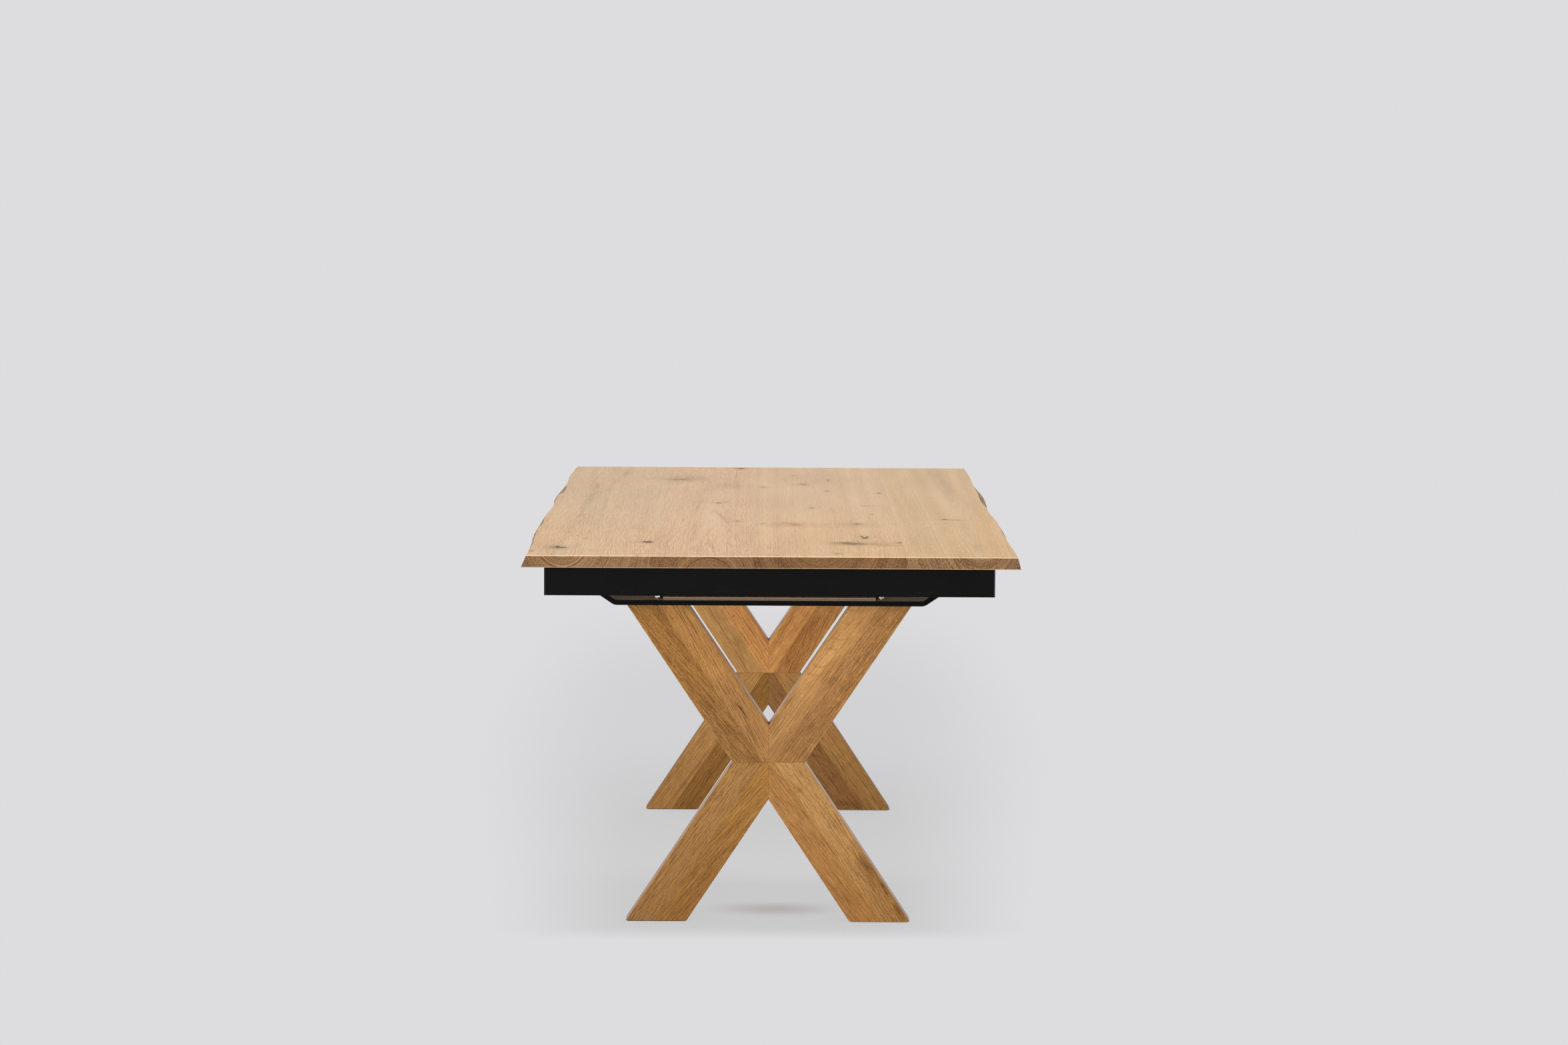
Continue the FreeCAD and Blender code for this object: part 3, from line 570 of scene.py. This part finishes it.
X, Y, Z = (1.0, 0.0, 0.0), (0.0, 1.0, 0.0), (0.0, 0.0, 1.0)
TOP_WOOD = {
    "seed": 1.0, "pith": (0.0, 700.0), "spacing": 3.0, "wander": 9.0, "wiggle": 5.0, "taper": 0.006,
    "ragged": 14.0, "ring": 0.60, "band": 0.35, "fibre": 0.60, "streak": 0.20, "pore": 0.40, "shine": 0.9,
    "fleck": 0.20, "run": 3.5, "calm": 0.4, "gloss": 0.1, "flank": None,
    "pale": srgb(234, 202, 164), "deep": srgb(203, 162, 121),
    "end_pale": srgb(171, 134, 97), "end_deep": srgb(95, 69, 49), "knot": srgb(52, 43, 37),
    # a painted highlight on the upper bevels at the ends
    "arris_highlight": (1.34, 1.47, 1.66, 1.0),
}


def top_wood(**changes):
    return {**TOP_WOOD, **changes}


GREY = (0.78, 0.81, 0.82, 1.0)
TAN = (0.86, 0.79, 0.70, 1.0)
SPOT = (0.60, 0.50, 0.40, 1.0)
BLUE = (0.50, 0.57, 0.64, 1.0)
LIGHT = (1.09, 1.09, 1.08, 1.0)
WARM = (1.02, 0.955, 0.84, 1.0)
STREAK = (-208, 658, 34, 14, 0.0, 0.5)
STREAK_CLOUD = (-200, 682, 38, 62, 0.0, 1.0, (0.68, 0.69, 0.67, 1.0))


def near_end(tone):
    """A tone that grows towards the near end of the top."""
    return (300, -1000, tone)


TOP_BOARDS = {
    "left_edge": dict(
        wood=top_wood(seed=2.3, pith=(-389, 785), wander=4.0, taper=0.010, wiggle=4.0, ring=0.55, fibre=1.35,
                      pore=0.6, shine=2.3),
        fades=[near_end((1.06, 1.02, 0.98, 1.0)), (-700, -350, (0.96, 0.98, 0.99, 1.0))],
        marks=[(-407, -838, 3, 16, 0.2, 1.0), (-401, -854, 8, 7, 0.25, 1.0), (-394, -858, 6, 8, 0.0, 0.8),
               (-358, -682, 7, 12, 0.0, 0.5), (-453, -922, 8, 10, 0.0, 0.6), (-237, -744, 11, 14, 0.0, 1.0),
               (-398, -566, 9, 8, 0.0, 0.35), (-380, -625, 5, 12, 0.0, 0.25), STREAK],
        stains=[(-402, 700, 5, 320, 0.04, 0.8, GREY), (-391, 40, 6, 420, -0.01, 0.7, GREY),
                (-336, 800, 5, 240, -0.06, 0.9, GREY), (-352, 120, 4, 430, 0.01, 0.8, GREY),
                (-368, 420, 16, 500, 0.0, 0.4, TAN), (-402, -846, 24, 60, 0.0, 0.8, GREY),
                (-405, -849, 16, 20, 0.0, 1.0, BLUE), (-240, -746, 18, 12, 0.0, 0.9, BLUE),
                (-232, -730, 16, 50, 0.0, 0.6, TAN), (-236, -60, 4, 420, 0.0, 0.9, LIGHT), STREAK_CLOUD,
                (-445, -500, 34, 500, 0.0, 0.8, WARM), (-405, -500, 7, 60, 0.0, 0.6, TAN),
                (-300, -500, 60, 400, 0.0, 0.5, (1.03, 0.99, 0.98, 1.0))],
        arcs=[(48, 1.2, (0.50, 0.42, 0.36, 1.0)), (45, 1.8, (1.30, 1.28, 1.22, 1.0)),
              (37, 1.0, (1.18, 1.18, 1.15, 1.0)), (52, 1.2, (1.16, 1.16, 1.12, 1.0))],
        bark=-1),
    "mid_left": dict(
        wood=top_wood(seed=5.1, pith=(-118, 705), spacing=3.2, wander=10.0, wiggle=6.0, ring=0.6, fibre=1.35,
                      pore=0.6, shine=2.3, pale=srgb(234, 199, 163), deep=srgb(204, 160, 120),
                      end_pale=srgb(160, 121, 83), end_deep=srgb(86, 60, 40)),
        fades=[near_end((1.04, 1.00, 0.96, 1.0))],
        marks=[STREAK, (-67, 962, 13, 18, 0.0, 0.8), (-109, 78, 8, 10, 0.0, 0.8),
               (-67, -318, 6, 12, 0.0, 0.6), (-45, -565, 8, 10, 0.0, 0.2)],
        stains=[STREAK_CLOUD, (-88, 500, 24, 60, 0.0, 0.8, GREY), (-115, 105, 22, 18, 0.0, 0.6, TAN),
                (-67, -320, 12, 24, 0.0, 0.6, TAN), (-215, -680, 16, 60, 0.0, 0.6, TAN),
                (-148, -560, 3, 200, 0.03, 0.9, TAN), (-140, -820, 4, 60, -0.12, 0.8, TAN),
                (-152, 60, 3, 260, -0.02, 0.7, TAN), (-98, -240, 3, 90, 0.10, 0.9, SPOT),
                (-84, 180, 3, 90, -0.08, 0.6, TAN), (-72, 560, 3, 220, 0.02, 0.6, TAN),
                (-180, -620, 10, 240, 0.02, 0.5, LIGHT), (-60, 120, 8, 300, 0.0, 0.5, LIGHT),
                (-110, -560, 8, 160, 0.0, 0.6, LIGHT)]),
    "mid_right": dict(
        wood=top_wood(seed=8.7, pith=(88, 800), spacing=3.6, wander=14.0, wiggle=5.0, taper=0.004, ring=0.35,
                      fibre=0.5, pore=0.5, end_pale=srgb(153, 115, 78), end_deep=srgb(79, 54, 36)),
        fades=[near_end((1.01, 0.965, 0.91, 1.0))],
        marks=[(32, -352, 11, 6, 0.0, 0.7), (-14, -368, 6, 12, 0.0, 0.35), (-26, -558, 5, 10, 0.0, 0.5),
               (178, -364, 9, 10, 0.3, 0.7), (183, -632, 2.4, 26, 0.14, 1.0),
               (191, -632, 2.2, 24, -0.16, 0.9), (186, -656, 5, 8, 0.0, 1.0),
               (148, -738, 22, 6, -0.2, 0.8), (165, -758, 30, 5, -0.1, 1.0),
               (160, -780, 26, 5, 0.0, 0.7), (253, -735, 7, 9, 0.0, 0.8), (242, 335, 7, 14, 0.0, 0.7),
               (212, -160, 5, 10, 0.0, 0.6), (134, 655, 3, 34, 0.0, 0.6), (90, -22, 5, 20, 0.0, 0.6)],
        stains=[(165, -755, 38, 44, 0.0, 1.0, GREY), (150, -752, 26, 17, 0.0, 0.8, BLUE),
                (178, -376, 26, 36, 0.0, 0.7, GREY), (110, -392, 90, 34, 0.0, 0.6, TAN),
                (34, -384, 32, 36, 0.0, 1.0, TAN),
                (235, -766, 26, 26, 0.0, 0.6, TAN), (75, 548, 20, 40, 0.0, 0.8, GREY),
                (80, 700, 70, 90, 0.0, 0.4, GREY), (188, -640, 20, 36, 0.0, 0.5, GREY),
                (-13, 470, 16, 32, 0.0, 0.7, GREY), (54, -395, 8, 18, 0.0, 0.7, SPOT),
                (-13, 470, 8, 17, 0.0, 1.0, SPOT), (75, 545, 10, 20, 0.0, 0.6, SPOT),
                (55, 775, 5, 12, 0.0, 0.8, SPOT), (126, 378, 7, 14, 0.0, 0.9, SPOT),
                (204, 32, 16, 6, 0.0, 0.8, SPOT), (218, 222, 3, 8, 0.0, 0.8, SPOT),
                (222, -794, 34, 4, 0.0, 0.8, SPOT), (196, -764, 22, 8, 0.0, 0.8, SPOT),
                (127, -946, 6, 14, 0.0, 1.0, SPOT), (52, -520, 4, 8, 0.0, 0.6, SPOT),
                (150, -700, 120, 330, 0.0, 0.8, WARM), (156, -680, 4, 120, 0.0, 0.7, LIGHT),
                (243, -600, 7, 120, 0.0, 0.7, LIGHT)]),
    "right_edge": dict(
        wood=top_wood(seed=11.9, pith=(394, 790), spacing=3.1, wander=6.0, wiggle=3.0, taper=-0.009,
                      ring=0.25, fibre=0.35, pore=0.4, pale=srgb(230, 198, 158), deep=srgb(200, 160, 115)),
        fades=[near_end((1.01, 0.975, 0.90, 1.0))],
        marks=[(362, -262, 9, 8, -0.3, 0.75)],
        stains=[(384, 850, 18, 150, 0.02, 0.8, GREY), (396, 480, 12, 220, 0.02, 0.7, GREY),
                (395, -640, 14, 280, 0.0, 0.7, GREY), (368, -268, 22, 16, 0.0, 0.6, GREY),
                (388, -275, 14, 8, 0.0, 0.7, SPOT), (262, 0, 5, 1500, 0.0, 0.8, LIGHT),
                (420, 60, 10, 160, 0.0, 0.4, GREY), (430, -420, 40, 420, 0.0, 0.7, WARM)],
        cracks=[(344, 760, 358, 737, 1.2, (0.42, 0.36, 0.32, 1.0))],
        bark=1),
}
for board, look in TOP_BOARDS.items():
    give("top_board_" + board, oak_material("oak_top_" + board, (0, 0, 0), X, Y, **look))

# ---------------------------------------------------------------- leaf boards, stored crosswise

for leaf_number, leaf in enumerate(("lower", "upper")):
    for board_number, board in enumerate(TOP_BOARDS):
        node = "%s_leaf_board_%s" % (leaf, board)
        low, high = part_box(node)
        middle = (low + high) / 2.0
        seed = 20.0 + 7.3 * leaf_number + 3.7 * board_number
        wood = top_wood(seed=seed, pith=(30.0 * math.sin(seed), 45.0 * math.cos(seed * 1.7)), wander=8.0)
        spots = [(60.0 * math.sin(seed * 2.1), 150.0 * math.cos(seed * 3.3), 9, 16, 0.2, 0.8),
                 (45.0 * math.cos(seed * 1.3), 190.0 * math.sin(seed * 2.7), 6, 10, 0.0, 0.6)]
        give(node, oak_material("oak_" + node, middle, (0.0, -1.0, 0.0), X, wood, marks=spots))

# ---------------------------------------------------------------- leg beams

# half widths and heights of the legs, in mm
JOINT_X, JOINT_Z = 71.0, 318.5
HEAD = (280.0, 630.5)
FOOT = (280.5, 1.5)


def flank_with_painted_sheen(r, g, b):
    """Side faces of a beam that mirror the pale studio, with a painted sheen: a tone that makes them paler
    still.
    """
    return {"gloss": 0.9, "rough": 0.6, "tone": (r, g, b, 1.0)}


LEG_WOOD = {
    "seed": 1.0, "pith": (40.0, 260.0), "spacing": 2.6, "wander": 6.0, "wiggle": 2.0, "taper": 0.02,
    "ragged": 3.0, "ring": 0.40, "band": 0.26, "fibre": 0.85, "streak": 0.7, "pore": 0.9, "shine": 0.9,
    "fleck": 0.4, "run": 1.5, "calm": 1.0, "gloss": 0.12, "flank": flank_with_painted_sheen(1.16, 1.16, 1.16),
    "pale": srgb(200, 149, 82), "deep": srgb(135, 93, 50),
    "end_pale": srgb(160, 116, 70), "end_deep": srgb(104, 70, 40), "knot": srgb(62, 40, 22),
    "arris_highlight": (1.0, 1.0, 1.0, 1.0),
}


def leg_wood(**changes):
    return {**LEG_WOOD, **changes}


LAMELLA = 50.0                  # width of a glued strip, mm
BROWN = (0.70, 0.60, 0.50, 1.0)
SOOT = (0.56, 0.50, 0.42, 1.0)
# tones of the glued strips, in steps of 0.05; the palest is painted light for the far leg's upper beams
PLAIN = (1.00, 0.95, 1.00, 1.0)
RUSSET = (0.95, 0.90, 0.85, 1.0)
RUDDY = (1.05, 0.95, 1.00, 1.0)
PALE = (1.10, 1.05, 1.10, 1.0)
ASHEN = (1.10, 1.15, 1.35, 1.0)
PAINTED_LIGHT = (1.30, 1.20, 1.30, 1.0)
OLIVE = (0.85, 0.85, 0.90, 1.0)
HONEY = (0.90, 0.85, 0.70, 1.0)
DUSK = (0.60, 0.55, 0.40, 1.0)
SHADE = (0.60, 0.55, 0.60, 1.0)
BEAMS = {
    "front_upper_left": dict(
        wood=leg_wood(seed=31.0, pith=(-60, 240), fibre=1.0, streak=1.3,
                      flank=flank_with_painted_sheen(1.55, 1.60, 1.60)),
        strips=[(0, RUSSET, 0, 0.12, 2.0), (LAMELLA, PALE, 17.0, -0.10, 1.0)],
        fades=[(190, 60, (0.83, 0.85, 0.91, 1.0))],
        marks=[(72, 76, 1.3, 21, 0.0, 0.9), (67, 76, 0.9, 16, 0.05, 0.45), (60, 301, 2.2, 2.5, 0.0, 0.5)],
        stains=[(44, 250, 9, 95, 0.02, 0.6, BROWN), (30, 70, 7, 100, 0.14, 0.5, BROWN),
                (24, 190, 6, 70, 0.12, 0.4, BROWN)]),
    "front_upper_right": dict(
        wood=leg_wood(seed=43.0, pith=(250, 60), fleck=0.9, streak=0.9,
                      flank=flank_with_painted_sheen(1.45, 1.50, 1.40)),
        strips=[(0, PLAIN, 0, 0.07, 1.2), (LAMELLA, PALE, 0, 0.07, 0.6)],
        fades=[(180, 50, (0.84, 0.84, 0.86, 1.0))],
        stains=[(26, 150, 9, 60, 0.1, 0.4, BROWN), (40, 30, 10, 60, 0.08, 0.4, BROWN),
                # painted light: the pale, bluish stain lightens the inner edge and the inner side
                (88, 190, 36, 180, 0.0, 1.0, (1.38, 1.50, 1.80, 1.0))],
        curls=[(99, -42, 90, 340, 11, 6, 30, (0.88, 0.82, 0.74, 1.0))]),
    "front_lower_left": dict(
        wood=leg_wood(seed=55.0, pith=(-120, 220), ring=0.5, flank=flank_with_painted_sheen(1.38, 1.25, 1.05)),
        strips=[(0, OLIVE, 0, 0.01, 1.1), (LAMELLA, HONEY, 13.0, 0.13, 0.9)],
        # painted shade: darker towards the foot
        fades=[(40, 200, (0.90, 0.88, 0.88, 1.0)), (200, 340, (0.91, 0.90, 0.90, 1.0))],
        marks=[(1, 8, 2.0, 9, 0.0, 0.6), (19, 66, 1.4, 5, 0.0, 0.5)],
        stains=[(90, 250, 12, 60, 0.0, 0.5, BROWN), (72, 120, 5, 60, 0.13, 0.35, BROWN)]),
    "front_lower_right": dict(
        wood=leg_wood(seed=67.0, pith=(200, 200)),
        strips=[(0, ASHEN, 0, 0.0, 1.0), (LAMELLA, PLAIN, 11.0, 0.10, 0.8)],
        # painted shade: darker towards the foot
        fades=[(80, 340, (0.88, 0.85, 0.78, 1.0))],
        marks=[(10, 92, 1.8, 3, 0.0, 0.5), (36, 41, 3.0, 4, 0.3, 0.35), (5, 291, 2.4, 9, 0.0, 0.5),
               (8, 309, 1.6, 7, 0.1, 0.4)],
        stains=[(9, 236, 7, 24, 0.0, 1.0, SOOT), (5, 292, 6, 13, 0.0, 1.0, SOOT),
                (6, 350, 7, 18, 0.0, 1.0, SOOT), (10, 260, 8, 20, 0.0, 0.8, BROWN),
                (22, 320, 18, 50, 0.0, 0.5, BROWN), (36, 41, 8, 9, 0.0, 0.5, BROWN)]),
    # painted light: the far leg's upper beams lie in shade under the top, and their strip tones, the palest
    # most of all, make them lighter
    "back_upper_left": dict(
        wood=leg_wood(seed=79.0, pith=(180, 180), ring=0.6, streak=0.3, fibre=0.6),
        strips=[(0, ASHEN, 0, 0.0, 0.5), (LAMELLA, PAINTED_LIGHT, 15.0, 0.0, 0.8)],
        marks=[(64, 114, 2.0, 2.0, 0.0, 0.8)],
        stains=[(40, 57, 13, 14, 0.0, 0.9, (0.74, 0.74, 0.66, 1.0)),
                (14, 22, 14, 30, 0.0, 0.6, (0.84, 0.82, 0.78, 1.0)), (82, 64, 3, 14, 0.0, 0.6, BROWN)]),
    "back_upper_right": dict(
        wood=leg_wood(seed=91.0, pith=(130, 160), wander=12.0, streak=1.0),
        strips=[(0, RUDDY, 0, -0.12, 1.1), (LAMELLA, PAINTED_LIGHT, 5.0, 0.05, 0.7)],
        marks=[(10, 120, 1.8, 2.4, 0.0, 0.5)],
        stains=[(18, 2, 24, 26, 0.0, 1.0, BROWN), (47, 50, 4, 34, -0.05, 0.8, BROWN),
                (39, 100, 9, 22, 0.1, 0.8, BROWN), (30, 60, 16, 50, 0.0, 0.5, BROWN)]),
    "back_lower_left": dict(
        wood=leg_wood(seed=103.0, pith=(-80, 280), fibre=0.7, streak=0.5, flank=None),
        strips=[(0, OLIVE, 0, 0.0, 0.6), (LAMELLA, DUSK, 19.0, 0.0, 0.9)],
        # painted shade: darker towards the foot
        fades=[(150, 360, (0.84, 0.82, 0.78, 1.0))],
        stains=[(78, 230, 10, 110, 0.02, 0.6, BROWN)]),
    "back_lower_right": dict(
        wood=leg_wood(seed=117.0, pith=(190, 230), fibre=0.9, streak=0.8, flank=None),
        strips=[(0, OLIVE, 0, 0.06, 0.7), (LAMELLA, SHADE, 7.0, 0.05, 0.8)],
        # painted shade: darker towards the foot
        fades=[(150, 360, (0.92, 0.90, 0.86, 1.0))],
        curls=[(102, -56, 120, 345, 22, 10, 60, (0.84, 0.80, 0.76, 1.0))]),
}
# glue lines where the upper beams meet the lower ones, and the left beams the right ones
MITRE_SEAM = (2, JOINT_Z, 0.6, (0.70, 0.66, 0.62, 1.0))
MIDDLE_SEAM = (0, 0.0, 0.5, (0.82, 0.78, 0.74, 1.0))
for beam, look in BEAMS.items():
    node = "leg_%s_beam" % beam
    low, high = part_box(node)
    end_x, end_z = HEAD if "upper" in beam else FOOT
    side = -1.0 if beam.endswith("left") else 1.0
    along = Vector((end_x - JOINT_X, 0.0, end_z - JOINT_Z)).normalized()
    across = Vector((-abs(along.z), 0.0, along.x if along.z > 0 else -along.x))
    along.x *= side
    across.x *= side
    origin = (side * JOINT_X * MM, (low.y + high.y) / 2.0, JOINT_Z * MM)
    give(node, oak_material("oak_" + beam, origin, across, along, seams=(MITRE_SEAM, MIDDLE_SEAM), **look))

# ---------------------------------------------------------------- everything else

coat_seed = 0
for subpart in frame["record"]["subparts"]:
    node, slot = subpart["node"], subpart["material_slot"]
    if slot == "black_steel":
        coat_seed += 1
        scuffs = 1.0 if "apron" in node else 0.5
        # the bows' level faces take a dusty film with a painted reflection
        dust_and_reflection = 0.8 if node.startswith("bow") else 0.0
        give(node, powder_coat("coat_" + node, coat_seed, scuffs, dust_and_reflection))
BEECH_WOOD = leg_wood(gloss=0.3, pale=srgb(214, 176, 132), deep=srgb(190, 148, 104))
PLAIN_SLOTS = {
    "zinc_steel": zinc(), "black_plastic": black_plastic(), "felt": felt(), "shelf_board": shelf_board(),
    "beech": oak_material("beech", (0, 0, 0), X, Z, BEECH_WOOD),
}
for subpart in frame["record"]["subparts"]:
    if subpart["material_slot"] in PLAIN_SLOTS:
        give(subpart["node"], PLAIN_SLOTS[subpart["material_slot"]])

# ---------------------------------------------------------------- floor, light, camera

# the floor's places are in metres
BACKGROUND = srgb(221, 221, 223)
FLOOR_REACH = 30.0
FLOOR_DROP = 0.0004             # keeps the floor clear of the pads
SHADE_MIDDLE_X = -0.012
CONTACT_X, CONTACT_Y = 0.012, -0.542
CONTACT_HALF_X, CONTACT_HALF_Y = 0.17, 0.095


def studio_floor():
    """A pale floor with the photograph's soft shade under the table and the dark patch at the foot."""
    mesh = bpy.data.meshes.new("floor")
    r = FLOOR_REACH
    mesh.from_pydata([(-r, -r, 0), (r, -r, 0), (r, r, 0), (-r, r, 0)], [], [(0, 1, 2, 3)])
    floor = bpy.data.objects.new("floor", mesh)
    bpy.context.scene.collection.objects.link(floor)
    floor.location.z = -FLOOR_DROP
    material, net = new_material("floor")
    place = net.node("ShaderNodeTexCoord").outputs["Object"]
    x, y, _ = net.split(place)
    # painted shade: the floor is darkened softly under and behind the table
    widen = net.step(y, -1.2, 2.0, 0.70, 1.0)
    aside = net.math("ABSOLUTE", net.math("SUBTRACT", x, SHADE_MIDDLE_X))
    wide = net.step(net.math("DIVIDE", aside, widen), 0.30, 0.80, 1.0, 0.0)
    under = net.times(wide, net.window(y, -0.88, -0.72, 2.2, 5.2))
    # painted shadow: a dark patch on the floor at the near leg, strongest at its middle
    patch = net.length(net.math("DIVIDE", net.math("SUBTRACT", x, CONTACT_X), CONTACT_HALF_X),
                       net.math("DIVIDE", net.math("SUBTRACT", y, CONTACT_Y), CONTACT_HALF_Y))
    painted_contact_shadow = net.step(patch, 0.0, 1.0, 1.0, 0.0)
    share = net.times(net.seen(), net.add(1.0, net.times(under, -0.24)))
    strength = net.times(net.add(1.0, net.times(under, -0.08)), net.add(1.0, net.times(painted_contact_shadow, -0.28)))
    matt = net.node("ShaderNodeBsdfDiffuse", {"Color": (0.70, 0.70, 0.71, 1.0)})
    shade = net.blend(painted_contact_shadow, BACKGROUND, srgb(223, 219, 216))
    glow = net.node("ShaderNodeEmission", {"Color": shade, "Strength": strength})
    mixed = net.node("ShaderNodeMixShader", {0: share, 1: matt.outputs[0], 2: glow.outputs[0]})
    net.node("ShaderNodeOutputMaterial", {"Surface": mixed.outputs[0]})
    mesh.materials.append(material)


def studio_world(strength):
    world = bpy.data.worlds.new("studio")
    bpy.context.scene.world = world
    world.use_nodes = True
    world.node_tree.nodes.clear()
    net = Net(world.node_tree)
    shown = net.node("ShaderNodeBackground", {"Color": BACKGROUND, "Strength": 1.0})
    lit = net.node("ShaderNodeBackground", {"Color": (1.0, 1.0, 1.0, 1.0), "Strength": strength})
    mixed = net.node("ShaderNodeMixShader", {0: net.seen(), 1: lit.outputs[0], 2: shown.outputs[0]})
    net.node("ShaderNodeOutputWorld", {"Surface": mixed.outputs[0]})


def area_light(name, place, target, size, power):
    lamp = bpy.data.lights.new(name, "AREA")
    lamp.shape = "DISK"
    lamp.size = size
    lamp.energy = power
    light = bpy.data.objects.new(name, lamp)
    light.location = place
    light.rotation_mode = "QUATERNION"
    light.rotation_quaternion = (Vector(target) - Vector(place)).to_track_quat("-Z", "Y")
    light.visible_camera = False
    light.visible_glossy = False
    bpy.context.scene.collection.objects.link(light)


def sun_light(name, comes_from, angle, strength):
    """Light with parallel rays, so the far leg gets as much of it as the near one."""
    lamp = bpy.data.lights.new(name, "SUN")
    lamp.angle = angle
    lamp.energy = strength
    light = bpy.data.objects.new(name, lamp)
    light.rotation_mode = "QUATERNION"
    light.rotation_quaternion = (-Vector(comes_from)).to_track_quat("-Z", "Y")
    bpy.context.scene.collection.objects.link(light)


studio_floor()
studio_world(strength=0.76)
area_light("overhead", place=(0.0, -0.9, 4.2), target=(0.0, -0.1, 0.5), size=3.0, power=20.0)
area_light("under_fill", place=(0.0, -0.35, 0.46), target=(0.0, 0.65, 0.62), size=0.4, power=2.2)
sun_light("front_fill", comes_from=(-1.6, -9.0, 1.1), angle=0.33, strength=1.27)


PHOTO_WIDTH = 2352.0            # pixels, as the focal length is
FOCAL_PIXELS = 5959.0
SENSOR_WIDTH = 36.0             # mm
CAMERA_PLACE = (-0.0069, -8.407, 1.548)
PITCH, ROLL, YAW = 0.0974, -0.00566, -0.00448


def photo_camera():
    """The camera of the photograph: its place, turn and focal length come from a fit of its edges."""
    side = Vector((math.cos(YAW), math.sin(YAW), 0.0))
    ahead = Vector((-math.sin(YAW), math.cos(YAW), 0.0))
    up = math.sin(PITCH) * ahead + math.cos(PITCH) * Vector(Z)
    look = math.cos(PITCH) * ahead - math.sin(PITCH) * Vector(Z)
    right = math.cos(ROLL) * side - math.sin(ROLL) * up
    above = math.sin(ROLL) * side + math.cos(ROLL) * up
    data = bpy.data.cameras.new("camera")
    data.sensor_fit = "HORIZONTAL"
    data.sensor_width = SENSOR_WIDTH
    data.lens = FOCAL_PIXELS * SENSOR_WIDTH / PHOTO_WIDTH
    data.clip_start, data.clip_end = 0.1, 200.0
    camera = bpy.data.objects.new("camera", data)
    turn = Matrix((right, above, -look)).transposed().to_4x4()
    camera.matrix_world = Matrix.Translation(CAMERA_PLACE) @ turn
    bpy.context.scene.collection.objects.link(camera)
    bpy.context.scene.camera = camera


photo_camera()
bpy.context.scene.view_settings.view_transform = "Standard"
